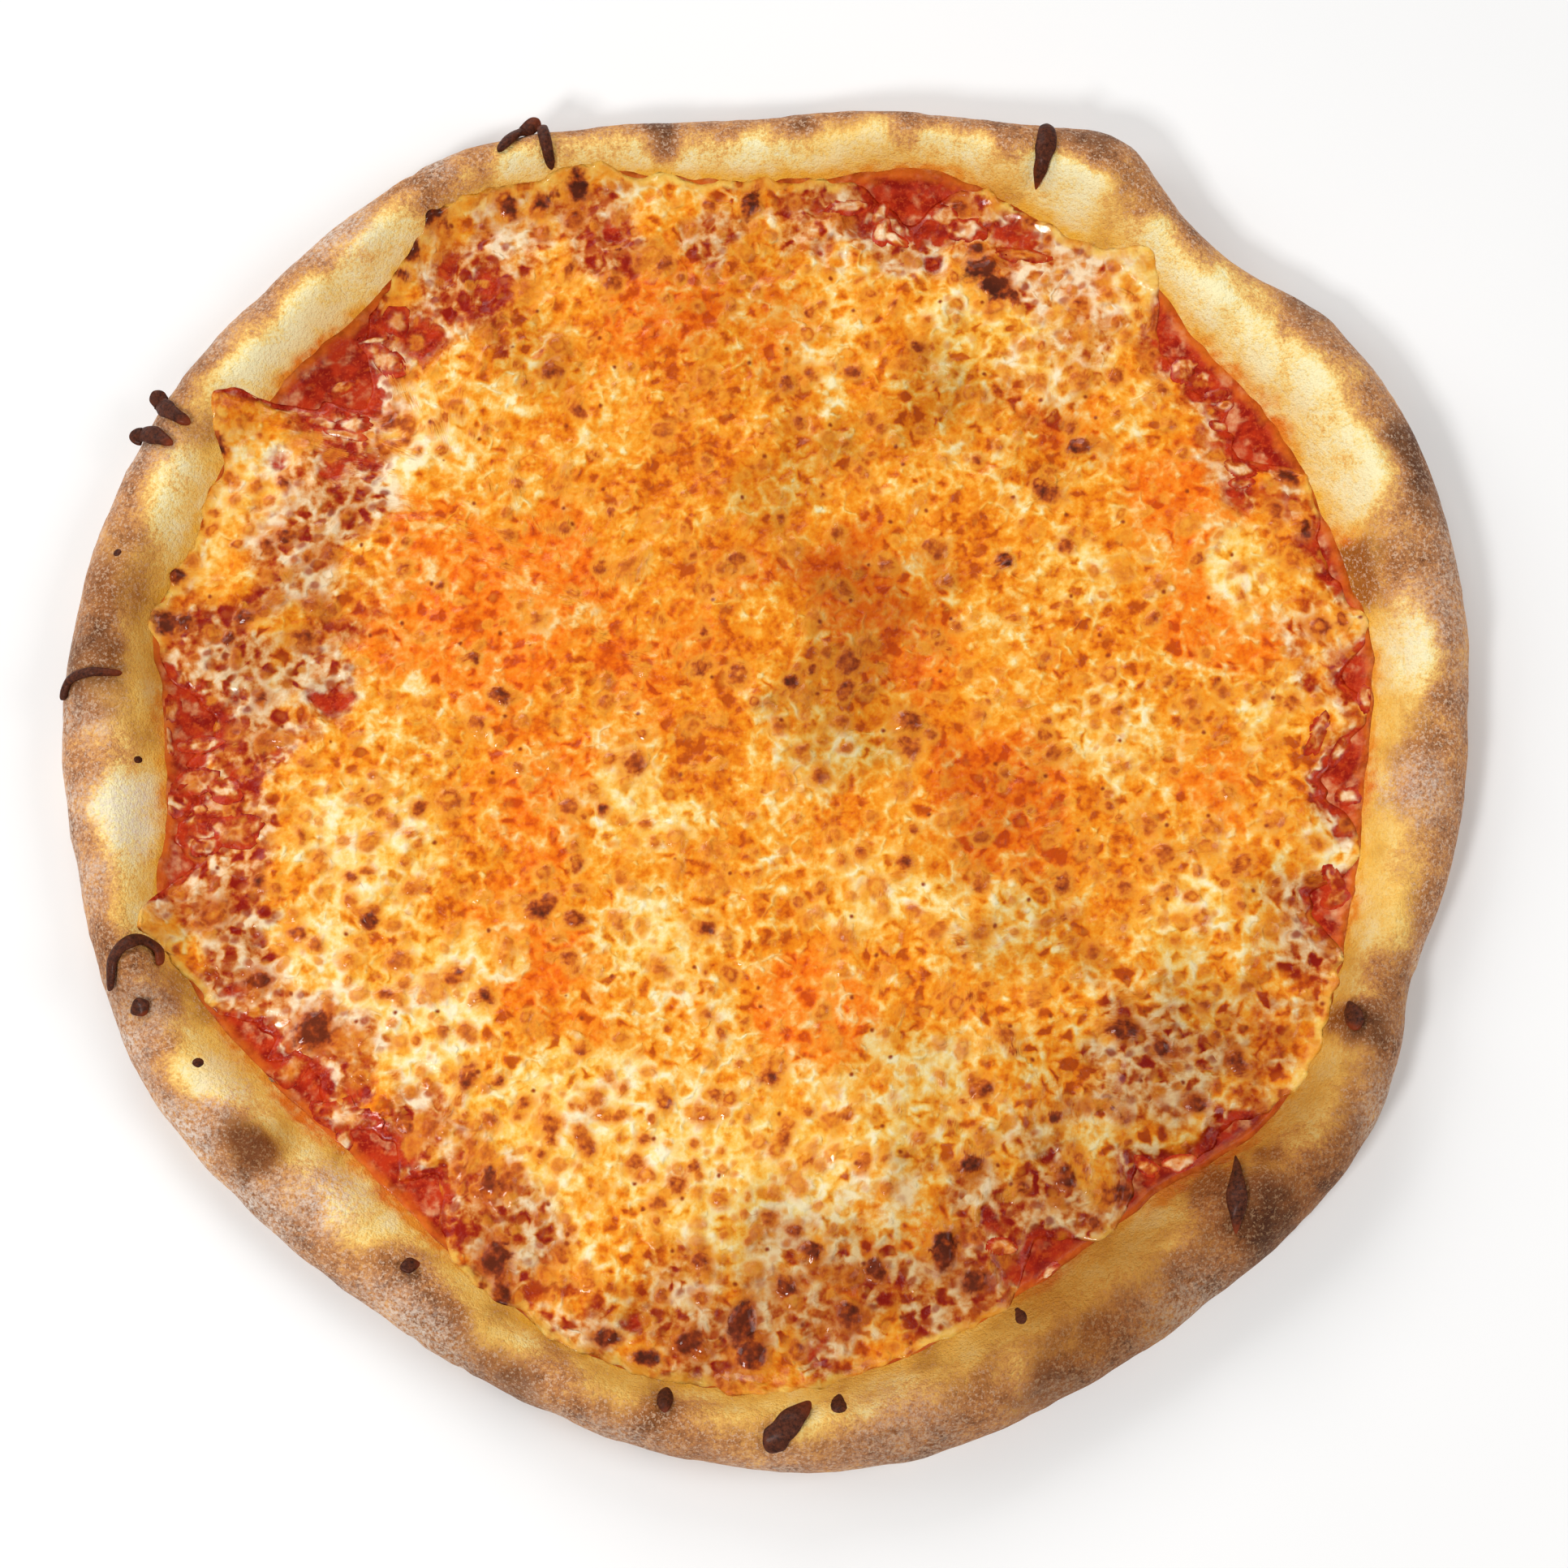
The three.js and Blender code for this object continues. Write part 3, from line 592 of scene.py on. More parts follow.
crust_numbers = {
    "toast": toast,
    "soaked": soaked,
    "brim": smooth(1.0 - (np.abs(rim_band) + 0.3 * wander) / (0.4 + 0.3 * stained)),
    "stained": stained,
    "flour": np.clip(flour, 0.0, 1.1),
    # Duller, browner dough and painted shade.
    "dull": patches(DULL_AND_SHADED_DOUGH, px, py, ragged),
    "char": dark * smooth(2.0 * rim_band),
}
top_pole = [0.0, 0.0, float(tray_height(np.zeros(1), np.zeros(1))[0])]
base_pole = [0.0, 0.0, 0.0]
rows = points.shape[0]
body = points.reshape(-1, 3)
crust_points = np.concatenate([body, [top_pole, base_pole]])
first_ring = np.arange(CRUST_COLUMNS)
last_ring = (rows - 1) * CRUST_COLUMNS + first_ring
crust_faces = [
    ring_faces(rows, CRUST_COLUMNS),
    fan_faces(len(body), first_ring, outwards=True),
    fan_faces(len(body) + 1, last_ring, outwards=False),
]
at_poles = {label: np.append(values.reshape(-1), [0.0, 0.0]) for label, values in crust_numbers.items()}
crust = make_piece("baked_crust", crust_points, crust_faces, at_poles)


def step_from(value, low, high):
    """0 below low, 1 above high and smooth between. A low above the high turns it round."""
    inputs = {
        "Value": value, "From Min": min(low, high), "From Max": max(low, high),
        "To Min": float(low > high), "To Max": float(low < high),
    }
    node = node_of(value.tree, "ShaderNodeMapRange", inputs, interpolation_type="SMOOTHSTEP")
    return Field(node, "Result")


def swing(value, width):
    """A noise of 0 to 1 moved to lie around 0, and made as wide as the width."""
    return worked_out("MULTIPLY_ADD", value, width, -0.5 * width)


def number_at(place, label):
    """The number that the mesh holds under a label."""
    return Field(node_of(place.tree, "ShaderNodeAttribute", {}, attribute_name=label), "Fac")


def ramp(value, stops):
    """Colours along a value: each stop is a value and a colour of 0 to 255."""
    node = node_of(value.tree, "ShaderNodeValToRGB", {"Fac": value})
    marks = node.color_ramp.elements
    for index, (position, *colour) in enumerate(stops):
        mark = marks[index] if index < 2 else marks.new(position)
        mark.position = position
        mark.color = paint(*colour)
    return Field(node, "Color")


def dulled_and_shaded(place, colour, shade):
    """The colour, times the shade colour where the mesh's number for duller places and painted shade is 1.
    """
    inputs = {0: 1.0, 6: colour, 7: mix(number_at(place, "dull"), (255, 255, 255), shade)}
    return Field(node_of(place.tree, "ShaderNodeMix", inputs, data_type="RGBA", blend_type="MULTIPLY"), 2)


def relief(shader, height, depth_mm):
    """A fine relief of a depth, where the height goes from 0 to 1."""
    inputs = {"Distance": depth_mm * MM, "Strength": 1.0, "Height": height}
    feed(shader["Normal"], Field(node_of(height.tree, "ShaderNodeBump", inputs), "Normal"))


def fresh_group(name, place_label, labels, result_label):
    """An empty shader group with a place and numbers as its inputs and a number as its result: the
    group, the inputs as fields, and the result's socket."""
    group = bpy.data.node_groups.new(name, "ShaderNodeTree")
    group.interface.new_socket(place_label, in_out="INPUT", socket_type="NodeSocketVector")
    for label in labels:
        group.interface.new_socket(label, in_out="INPUT", socket_type="NodeSocketFloat")
    group.interface.new_socket(result_label, in_out="OUTPUT", socket_type="NodeSocketFloat")
    given = group.nodes.new("NodeGroupInput")
    result = group.nodes.new("NodeGroupOutput")
    return group, [Field(given, label) for label in (place_label, *labels)], result.inputs[result_label]


FINER = 1 / 2.3


def speckle_group():
    """Shader group: a field of fine grains, brighter and darker than 0.5, from two noises, one
    2.3 times as fine as the other, pulled apart by a contrast."""
    labels = ("Grain Width", "Contrast")
    group, (place, width, contrast), result = fresh_group("fine_speckle", "Place", labels, "Speckle")
    mean = 0.6 * lumps_of(place, width, 1.5) + 0.4 * lumps_of(place, FINER * width, 1.0)
    feed(result, (mean - 0.5) * contrast + 0.5)
    return group


fine_speckle = speckle_group()


def speckle(place, width_mm, contrast):
    """The fine speckle group with its values."""
    inputs = {"Place": place, "Grain Width": width_mm, "Contrast": contrast}
    return Field(node_of(place.tree, "ShaderNodeGroup", inputs, node_tree=fine_speckle), "Speckle")


crust_finish, shader, place = fresh_material("baked_dough", roughness=0.62, gloss=0.2)
grains = speckle(place, 0.55, 3.4)
skin_spots = lumps_of(place, 1.9, detail=3.0)
blotches = lumps_of(place, 6.0, detail=3.0)
toast = number_at(place, "toast")
toasted = toast + swing(grains, 0.26) + swing(skin_spots, 0.45) + swing(blotches, 0.85)
colour = ramp(toasted, [
    (0.0, 255, 243, 192), (0.2, 255, 226, 146), (0.34, 246, 192, 104), (0.48, 222, 158, 88),
    (0.64, 192, 128, 76), (0.82, 154, 98, 56), (1.0, 102, 56, 26),
])
# Oil from the cheese made the inner side golden, and sauce made the brim orange in places.
soaked = number_at(place, "soaked")
brim = number_at(place, "brim") * (1.4 * skin_spots + 0.3)
golden_oil = mix(brim, (246, 192, 84), (247, 184, 62))
golden_oil = mix(number_at(place, "stained") * step_from(brim, 0.5, 1.1), golden_oil, (234, 118, 26))
golden_oil = mix(step_from(toast + swing(blotches, 1.3), 0.26, 0.8), golden_oil, (170, 100, 28))
oil_share = worked_out("MAXIMUM", soaked * (0.8 * blotches + 0.4), brim)
colour = mix(0.95 * oil_share, colour, golden_oil)
# Fine light grains in the brown skin, flour, and char.
light_grains = step_from(speckle(place, 0.5, 5.0), 0.5, 1.1) * step_from(toasted, 0.3, 0.7)
colour = mix(0.55 * light_grains, colour, (238, 206, 176))
dust = number_at(place, "flour") * step_from(speckle(place, 0.6, 3.4), 0.0, 1.2)
colour = mix(0.9 * dust, colour, (236, 218, 202))
colour = mix(number_at(place, "char") * step_from(grains, 0.8, 0.1), colour, (92, 52, 26))
# Painted shade, with duller and browner dough: a warm darkening in the rim's dull zones.
colour = dulled_and_shaded(place, colour, (188, 165, 134))
# The underside: pale dough with brown spots where it touched the hot stone, and flour.
height_above = Field(node_of(place.tree, "ShaderNodeSeparateXYZ", {"Vector": place}), "Z")
spots = step_from(lumps_of(place, 13.0, detail=4.0), 0.52, 0.66)
dark_dots = step_from(lumps_of(place, 4.2), 0.59, 0.72)
sole = mix(spots, (214, 170, 112), (142, 88, 48))
sole = mix(dark_dots, sole, (92, 56, 34))
sole = mix(step_from(speckle(place, 0.9, 3.0), 0.5, 1.1), sole, (228, 208, 182))
feed(shader["Base Color"], mix(step_from(height_above, 2.2 * MM, 0.6 * MM), colour, sole))
feed(shader["Roughness"], -0.22 * soaked + 0.68)
relief(shader, 0.6 * grains + 0.5 * blotches, 0.35)
crust.data.materials.append(crust_finish)
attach(crust, "root")
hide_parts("crust")

# ---------------------------------------------------------------- tomato sauce
# Crushed tomato, spread thin over the tray before baking. It is wet and deep red, and shows where
# the cheese doesn't reach the rim.
SAUCE_THICKNESS = 1.13
SAUCE_FILM = 0.02
SAUCE_PAST_BASIN = 0.2
SAUCE_OUTLINE_LUMPS = [(0.5, 5.0, 51)]
PULP_LUMPS = [(0.22, 4.0, 52), (0.16, 1.9, 53)]
SAUCE_SIDE = 0.5
SAUCE_COUNT = 181
# How far along each radius the rings of a sheet's under side lie, and their height over the bed.
UNDER_SHARES = (1.0, 0.985, 0.97, 0.955, 0.94, 0.92, 0.88, 0.8, 0.4)
UNDER_LIFT = 0.12
# Where the sauce is duller, and where shade is painted into its colour: x, y, radius and strength.
DULL_AND_SHADED_SAUCE = [(86, -98, 48, 1), (10, -136, 34, 0.8), (-128, 0, 30, 0.4), (-96, 92, 18, 0.3)]


def disc_grid(count):
    """Angle in degrees and share of the radius for a square grid bent into a disc: each square
    ring of the grid becomes a circle, and its four sides become quarters of that circle."""
    side = np.linspace(-1.0, 1.0, count)
    u, v = np.meshgrid(side, side)
    wide = np.abs(u) >= np.abs(v)
    safe_u = np.where(u == 0.0, 1.0, u)
    safe_v = np.where(v == 0.0, 1.0, v)
    angle = np.where(
        wide,
        45.0 * v / safe_u + np.where(u < 0.0, 180.0, 0.0),
        90.0 - 45.0 * u / safe_v + np.where(v < 0.0, 180.0, 0.0),
    )
    return angle, np.maximum(np.abs(u), np.abs(v))


def grid_faces(count):
    """Quads of a square grid, seen from above counter-clockwise."""
    row, column = np.meshgrid(np.arange(count - 1), np.arange(count - 1), indexing="ij")
    first = row * count + column
    return np.stack([first, first + 1, first + count + 1, first + count], axis=-1).reshape(-1, 4)


def grid_border(count):
    """Point numbers of a square grid's border, counter-clockwise from its first corner."""
    side = np.arange(count - 1)
    far = count * count - 1 - side
    return np.concatenate([side, (side + 1) * count - 1, far, (count - 1 - side) * count])


def keep_flat(piece, numbers):
    """Flat shading for some faces, so that the faces beside them aren't shaded round their edge."""
    rounded = np.ones(len(piece.data.polygons), dtype=bool)
    rounded[numbers] = False
    piece.data.polygons.foreach_set("use_smooth", rounded)


def lying_sheet(name, count, x, y, top, edge_height, bed_top, numbers):
    """A closed sheet: the grid as its upper side, and an under side of rings that follow what it
    lies on, a little above it, from under the edge to a pole in the middle."""
    border = grid_border(count)
    upper = np.stack([x, y, top], axis=-1).reshape(-1, 3)
    rings = [border]
    points = [upper]
    first = count * count
    for share in UNDER_SHARES:
        ring = upper[border] * [share, share, 1.0]
        ring[:, 2] = bed_top(ring[:, 0], ring[:, 1]) + UNDER_LIFT
        if share == 1.0:
            ring[:, 2] = upper[border, 2] - edge_height
        rings.append(first + np.arange(len(border)))
        points.append(ring)
        first += len(border)
    points.append([[0.0, 0.0, float(bed_top(np.zeros(1), np.zeros(1))[0]) + UNDER_LIFT]])
    faces = [grid_faces(count)]
    for higher, lower in zip(rings[:-1], rings[1:]):
        faces.append(np.stack([higher, lower, np.roll(lower, -1), np.roll(higher, -1)], axis=-1))
    faces.append(fan_faces(first, rings[-1], outwards=False))
    spare = first + 1 - count * count
    padded = {label: np.append(values.reshape(-1), np.zeros(spare)) for label, values in numbers.items()}
    piece = make_piece(name, np.concatenate(points), faces, padded)
    keep_flat(piece, len(faces[0]) + np.arange(len(border)))
    return piece


def sauce_edge(angle):
    """Radius of the sauce's outline: a little past the basin's edge, and lumpy."""
    return around(BASIN_EDGE, angle) + SAUCE_PAST_BASIN + outline_lumps(angle, SAUCE_OUTLINE_LUMPS)


def sauce_top(x, y):
    """Height of the sauce: its thickness over the crust, thinned to nothing at the outline, with
    lumps of pulp of two sizes."""
    from_edge = sauce_edge(angle_of(x, y)) - np.hypot(x, y)
    pulp = grains_of(x, y, 0.0, PULP_LUMPS)
    thick = SAUCE_THICKNESS * smooth(from_edge / 5.0) + pulp * smooth(from_edge / 4.0)
    return crust_top(x, y) + SAUCE_FILM + thick


angle, share = disc_grid(SAUCE_COUNT)
radius = share * sauce_edge(angle)
x, y = place_at(angle, radius)
# The edge, and the dull zones of duller sauce and painted shade.
sauce_look = {"edge": smooth((sauce_edge(angle) - radius) / 6.0), "dull": patches(DULL_AND_SHADED_SAUCE, x, y, 0.0)}
sauce = lying_sheet(
    "spread_tomato_sauce", SAUCE_COUNT, x, y, sauce_top(x, y), SAUCE_SIDE, crust_top, sauce_look
)


def wet_relief_group():
    """Shader group: the small soft ripples of a wet surface, from 0 to 1."""
    group, (place, width), result = fresh_group("wet_ripples", "Place", ("Ripple Width",), "Height")
    feed(result, lumps_of(place, width, roughness=0.45))
    return group


wet_ripples = wet_relief_group()


def ripples(place, width_mm):
    """The wet ripples group with its width."""
    inputs = {"Place": place, "Ripple Width": width_mm}
    return Field(node_of(place.tree, "ShaderNodeGroup", inputs, node_tree=wet_ripples), "Height")


def sauce_colour(place):
    """Deep red, with lighter pulp, fine grains and orange oil in small soft patches."""
    pulp = step_from(lumps_of(place, 2.2, detail=4.0), 0.36, 0.62)
    colour = mix(pulp, (146, 20, 4), (190, 50, 14))
    colour = mix(0.5 * step_from(speckle(place, 0.6, 4.0), 0.5, 1.2), colour, (212, 84, 38))
    return mix(0.7 * step_from(lumps_of(place, 1.6), 0.56, 0.74), colour, (210, 88, 24))


sauce_finish, shader, place = fresh_material(
    "wet_tomato", roughness=0.48, gloss=0.1, coat=0.07, coat_roughness=0.08
)
# Fine bits of cheese melted into the sauce in clusters, and towards the rim the red thins to orange.
clusters = step_from(lumps_of(place, 4.5), 0.42, 0.56)
bits = step_from(lumps_of(place, 1.9, detail=3.0), 0.44, 0.68) * clusters
milky = mix(speckle(place, 1.4, 3.0), (200, 92, 48), (234, 172, 124))
colour = mix(0.85 * bits, sauce_colour(place), milky)
inwards = number_at(place, "edge") + swing(lumps_of(place, 2.0), 0.8)
colour = mix(0.75 * step_from(inwards, 0.45, -0.15), colour, (232, 118, 28))
# Painted shade, with duller sauce: a warm darkening in the sauce's dull zones.
feed(shader["Base Color"], dulled_and_shaded(place, colour, (214, 200, 176)))
relief(shader, ripples(place, 0.9), 0.3)
sauce.data.materials.append(sauce_finish)
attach(sauce, "root")
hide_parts("tomato_sauce")

# ---------------------------------------------------------------- melted cheese
# Shredded mozzarella that melted into one layer. Thick places are cream and thin ones took up
# orange oil. Steam raised blisters that browned, and near the rim the sauce shows through.
# The outline's gaps and tongues: angle, depth or reach, and half width in degrees.
SAUCE_GAPS = [
    (8.5, 8, 2.5), (20, 4, 4), (34.5, 11, 4), (41, 8, 3), (46.5, 8, 3), (76, 10, 4), (138, 14, 5.5),
    (176, 12, 4), (184, 7, 4), (191, 8, 2.5), (209, 7, 3), (216, 8, 4), (225, 8, 4), (233, 7, 3),
    (299, 7, 3), (312, 5, 4), (320, 5, 4), (345, 8, 3), (358, 9, 4),
]
CHEESE_TONGUES = [
    (10, 1.5, 2), (53, 2.5, 2.5), (107, 2, 2.5), (120, 2.5, 4), (146.5, 8.5, 3.2), (195, 4, 2.5),
]
# Patches where hardly any cheese covers the sauce: x, y and radius.
BARE_SAUCE = [
    (-103, 87, 5.5), (-97, 90, 5), (-93, 94, 4.5), (-91, 99, 3.2), (-91, 103, 3), (-101, 82, 4),
    (-80, 101, 4.2), (-83, 99, 3), (-92, 87, 2.6), (-104, 77, 3), (-99, 72, 4), (-90, 83, 2),
    (-90, 69, 2.4), (-112, 70, 2), (93, 97, 4), (95, 101, 2.6), (102, 93, 3.6), (106, 90, 3.2),
    (110, 79, 5.6), (106, 76, 3.2), (112, 74, 3.2), (104, 82, 2.2), (108, 62, 2.6), (120, 60, 2.6),
    (127, 50, 3.2), (116, 64, 2), (24, 131, 3.6), (23, 128, 2.6), (31, 131, 4.2), (35, 128, 3.6),
    (39, 128, 2.6), (41, 126.5, 2.8), (57, 126, 3.2), (61, 124, 3), (13, 121, 2.4), (18, 120, 1.9),
    (57, 119, 2), (39, 117, 2.2), (12, 132, 2.4), (81, -105, 2.6), (84, -102, 2.8), (88, -98, 3),
    (92, -93, 2.8), (97, -89, 2.6), (102, -87, 2.4), (106, -83, 2.6), (79, -107, 2.4), (67, -118, 4.2),
    (54, -115, 3), (62, -90, 2.4), (50, -103, 2.8), (44, -108, 2.2), (75, -108, 2.2), (134, 20, 4.8),
    (134, 3, 3.4), (131, -3, 4.6), (135, -7, 3), (127, -10, 2.6), (130, -17, 2), (123, -36, 2.6),
    (125, -40, 2.6), (129, -35, 2.6), (-129, 11, 4.6), (-124, 9, 4.4), (-98, 13, 3), (-129, 0, 2.8),
    (-134, -5, 3.2), (-127, -9, 2.6), (-127, -16, 3.2), (-131, -23, 2.8), (-134, -26, 2.4),
    (-120, -4, 2.4), (-116, -1.5, 2), (-111, 1, 2), (-119, -52, 2.8), (-124, -50, 1.8), (-118, -58.5, 2),
    (-118, -62.5, 2.6), (-115.5, -66, 2), (-113.5, -69, 2), (-108.5, -69.5, 3), (-105, -76, 3.6),
    (-98, -76, 3.6), (-91, -76, 2.8), (-103, -80, 3.4), (-99, -85, 4), (-90, -87, 3.2), (-98, -89, 3.2),
    (-94, -91, 3), (-84.5, -85, 2.4), (-78.5, -89, 2.4), (-70, -98, 2.2), (-86, -93, 2.4),
    (-36, 126, 2.6), (-66, 113, 3), (-74, 117, 2.2), (-28, -126, 2), (12, -131, 2.4), (-112, -42, 2),
]
# Large browned blisters: x, y, half width along x and y, and tone from golden (0) to near black.
BLISTERS = [
    (50, 116.5, 3.8, 3.2, 1), (54, 112.5, 3.6, 3.2, 1), (-78, 127.5, 4.2, 2.8, 0.95),
    (-82, 121, 1.8, 2.2, 0.8), (-100, -62, 3.9, 3.9, 0.9), (-59, -112, 3.4, 4, 0.85),
    (-57, -119.5, 2.2, 3, 0.8), (-5, -126, 2.2, 5, 0.85), (-2.5, -132, 3, 3.4, 0.6),
    (39, -110, 2.6, 4.2, 0.85), (46, -116, 3.4, 2.6, 0.8), (55, -121, 2.6, 2.2, 0.7),
    (68, -113, 2.6, 3, 0.7), (18, -124, 2.6, 3.2, 0.6), (10, -110, 2.8, 2.4, 0.5),
    (24, -114, 2.4, 2.8, 0.6), (78, -98, 3, 2.2, 0.6), (94, -78, 2.6, 2.2, 0.5), (4, -118, 2.6, 2.2, 0.6),
    (-14, -112, 2.4, 2.2, 0.4), (66, -94, 2.8, 2.6, 0.5), (104, -68, 2.4, 2.2, 0.5),
    (80, -62, 2.9, 2.6, 0.7), (88, -66, 2.3, 2.1, 0.65), (45, -92, 2.8, 2.6, 0.6),
    (-34, -129, 3.2, 2, 0.8), (-25, -133, 3.4, 1.8, 0.75), (-16, -130, 3.6, 2.2, 0.7),
    (-44, 136, 2.6, 3.3, 0.9), (-52, 133, 2.2, 1.8, 0.75), (-60, 132, 2.4, 2.2, 0.7),
    (-4, 132.5, 2.2, 3.2, 0.8), (-127, 72, 2.8, 3.2, 0.7), (-137, 31, 2.8, 2.4, 0.9),
    (-132, 32, 1.9, 1.7, 0.8), (-135, 42, 3.6, 1.7, 0.7), (120, 66, 2.3, 1.9, 0.9),
    (115, 71, 1.6, 1.6, 0.8), (124, 54, 1.7, 3, 0.8), (40, 139.5, 1.6, 1.6, 0.8),
    (50, 137, 1.3, 1.1, 0.7), (-60, 14, 2.4, 2.1, 0.5), (-50, -35, 2.9, 2.5, 0.55),
    (-43, -37, 2.3, 2, 0.4), (-88, -37, 2.2, 2, 0.5), (-113, -50, 2.9, 2.4, 0.65),
    (-60, -96, 2.3, 4.2, 0.6), (130, -36, 1.8, 2.2, 0.8), (-102, 99, 2, 1.2, 0.7),
    (-85, 115, 2, 1.6, 0.6), (-141, 44, 2, 1.2, 0.5), (72, -104, 1.7, 1.4, 0.6), (20, 92, 2.2, 2, 0.3),
    (72, 74, 2.6, 2.2, 0.5), (66, 62, 3.2, 2.4, 0.45), (55, 46, 2.2, 2, 0.55), (32, 8, 3.4, 3, 0.25),
    (6, 18, 1.9, 1.9, 0.5), (48, 122, 2, 1.6, 0.7), (58, 110, 1.6, 2.4, 0.5), (5, 88, 2.6, 2.2, 0.35),
    (-128, -22, 1.8, 1.4, 0.5), (-118, 33, 2.4, 2, 0.6), (-122, 28, 1.8, 1.8, 0.6),
    (-110, 52, 2.2, 1.8, 0.6), (-70, -50, 2.4, 2, 0.15),
]
# Drawn blisters: width of the cell that holds one, smallest and largest radius.
SMALL_BLISTERS = (5.6, 1.3, 2.4)
WIDE_BLISTERS = (8.5, 1.7, 3.4)
SHRED_CELL = 5.4
SHRED_REACH = 5.5
SHRED_HALF_WIDTH = 1.1
SHREDS_KEPT = 0.5
CHEESE_OVERLAP = 0.5
CHEESE_THICKNESS = 1.9
BARE_THICKNESS = 0.4
FILM_THICKNESS = 0.1
CHEESE_CLEARANCE = 0.3
CHEESE_DIP = 0.05
CHEESE_SIDE = 0.5
CHEESE_COUNT = 307
# Lumps: layers of a strength, a size and a seed.
CHEESE_OUTLINE_LUMPS = [(1.1, 7.0, 61), (0.75, 3.0, 62)]
GAP_OUTLINE_LUMPS = [(0.3, 12.0, 60)]
BENDS_IN_X = [(1.2, 7.0, 63), (0.4, 2.6, 64)]
BENDS_IN_Y = [(1.2, 7.0, 65), (0.4, 2.6, 66)]
RAGGED_ZONES = [(6.0, 15.0, 67), (4.0, 6.0, 68), (2.2, 2.8, 69)]
RAGGED_BARE_SAUCE = [(1.8, 5.0, 81)]
POOLS = [(0.5, 17.0, 80), (0.5, 8.0, 76), (0.3, 3.8, 77)]
SMALL_BUMPS = [(0.14, 2.1, 78)]
# Zones of the cheese: x, y, radius and strength.
OILY_CHEESE = [
    (-62, 34, 28, 0.95), (-54, -8, 18, 0.8), (-60, -30, 12, 0.6), (-52, -48, 15, 0.75),
    (-78, 48, 14, 0.6), (22, 42, 16, 1), (10, -55, 14, 0.9), (54, -12, 18, 1), (97, 60, 18, 1),
    (34, 22, 11, 0.7), (-90, 26, 14, 0.6), (68, 82, 9, 0.6), (104, 30, 15, 0.7), (-25, 107, 17, 0.7),
    (4, 105, 16, 0.5), (-38, -64, 10, 0.5), (104, -4, 12, 0.6), (-64, -68, 8, 0.3), (20, -18, 9, 0.3),
    (-24, 20, 18, 0.5), (-70, 108, 10, 0.3), (110, -60, 10, 0.3), (-4, 42, 10, 0.5), (-20, -52, 10, 0.4),
    (14, -116, 14, 0.6), (36, -108, 12, 0.6),
]
GOLDEN_CHEESE = [
    (-10, 72, 46, 0.9), (-40, 84, 28, 0.7), (30, 62, 30, 0.8), (10, 10, 42, 0.5), (52, 10, 34, 0.6),
    (88, -20, 26, 0.4), (-30, 55, 25, 0.7), (60, 84, 22, 0.4), (60, -32, 24, 0.4), (-20, -20, 22, 0.3),
]
PALE_CHEESE = [
    (-90, -18, 20, 0.8), (-76, -58, 19, 1), (-62, -86, 17, 0.9), (-38, -78, 20, 0.8), (-10, -94, 22, 1),
    (-97, -44, 13, 0.7), (-22, -42, 16, 0.7), (-26, -12, 15, 0.6), (14, -88, 17, 0.6), (8, -104, 12, 0.4),
    (84, -72, 17, 0.7), (36, -76, 15, 0.6), (70, 104, 18, 0.9), (86, 110, 12, 0.8), (46, 100, 12, 0.6),
    (-118, 60, 13, 0.8), (-129, 72, 10, 0.9), (-126, 46, 8, 0.5), (78, 4, 14, 0.5), (113, 46, 10, 0.9),
    (68, 44, 12, 0.6), (12, 4, 10, 0.5), (60, -88, 14, 0.5), (30, -112, 15, 0.1), (88, 86, 9, 0.5),
    (112, 8, 11, 0.7), (92, -34, 14, 0.8), (24, -32, 14, 0.6), (-80, 78, 12, 0.8), (14, 94, 10, 0.4),
    (-30, 132, 12, 0.3), (-128, -40, 8, 0.4), (66, -118, 9, 0.3), (126, -20, 8, 0.5),
    (-15, -116, 15, 0.5), (52, -36, 12, 0.5), (-104, 42, 11, 0.5), (-90, 86, 9, 0.6), (-60, -40, 9, 0.3),
    (-75, 10, 10, 0.3), (-46, 100, 8, 0.3), (60, 134, 6, 0.5), (-58, 132, 9, 0.5), (124, -62, 8, 0.4),
    (-44, -108, 11, 0.8), (30, 118, 9, 0.4),
]
SAUCY_CHEESE = [
    (33, 129, 13, 1), (50, 126, 10, 0.6), (66, 120, 10, 0.8), (10, 126, 12, 0.7), (-36, 123, 14, 0.9),
    (-12, 128, 10, 0.7), (-68, 112, 14, 0.9), (-80, 103, 10, 0.6), (-98, 88, 16, 1), (-102, 70, 14, 0.85),
    (-98, 58, 13, 0.75), (-112, 48, 14, 0.75), (-122, 26, 14, 0.9), (-116, 6, 18, 0.95),
    (-102, 20, 17, 0.85), (-122, -14, 15, 0.95), (-124, -32, 14, 0.9), (-116, -46, 12, 0.8),
    (-108, -60, 12, 0.7), (-96, -74, 14, 1), (-82, -88, 14, 1), (-67, -98, 12, 0.85),
    (-50, -114, 14, 0.7), (50, -108, 16, 0.85), (66, -112, 12, 0.95), (38, -120, 12, 0.7),
    (8, -120, 16, 0.65), (20, -132, 10, 0.6), (86, -94, 13, 0.9), (102, -82, 13, 0.9),
    (112, -66, 13, 0.5), (124, -40, 11, 0.7), (124, -54, 10, 0.4), (130, -6, 10, 0.9), (134, 18, 8, 0.8),
    (124, 54, 9, 0.6), (111, 77, 11, 1), (101, 91, 10, 0.7), (91, 99, 9, 0.8), (94, 82, 10, 0.2),
    (-18, -120, 18, 0.6), (84, -74, 17, 0.8), (64, 88, 15, 0.4), (-90, 98, 11, 0.7), (-92, 40, 12, 0.45),
    (62, -84, 12, 0.4), (24, -102, 14, 0.4), (-40, -128, 12, 0.6), (76, 108, 12, 0.4), (126, 34, 8, 0.5),
    (-60, 126, 10, 0.6), (30, 86, 12, 0.25), (-10, -134, 10, 0.6), (110, -30, 10, 0.1),
    (78, -50, 10, 0.3),
]
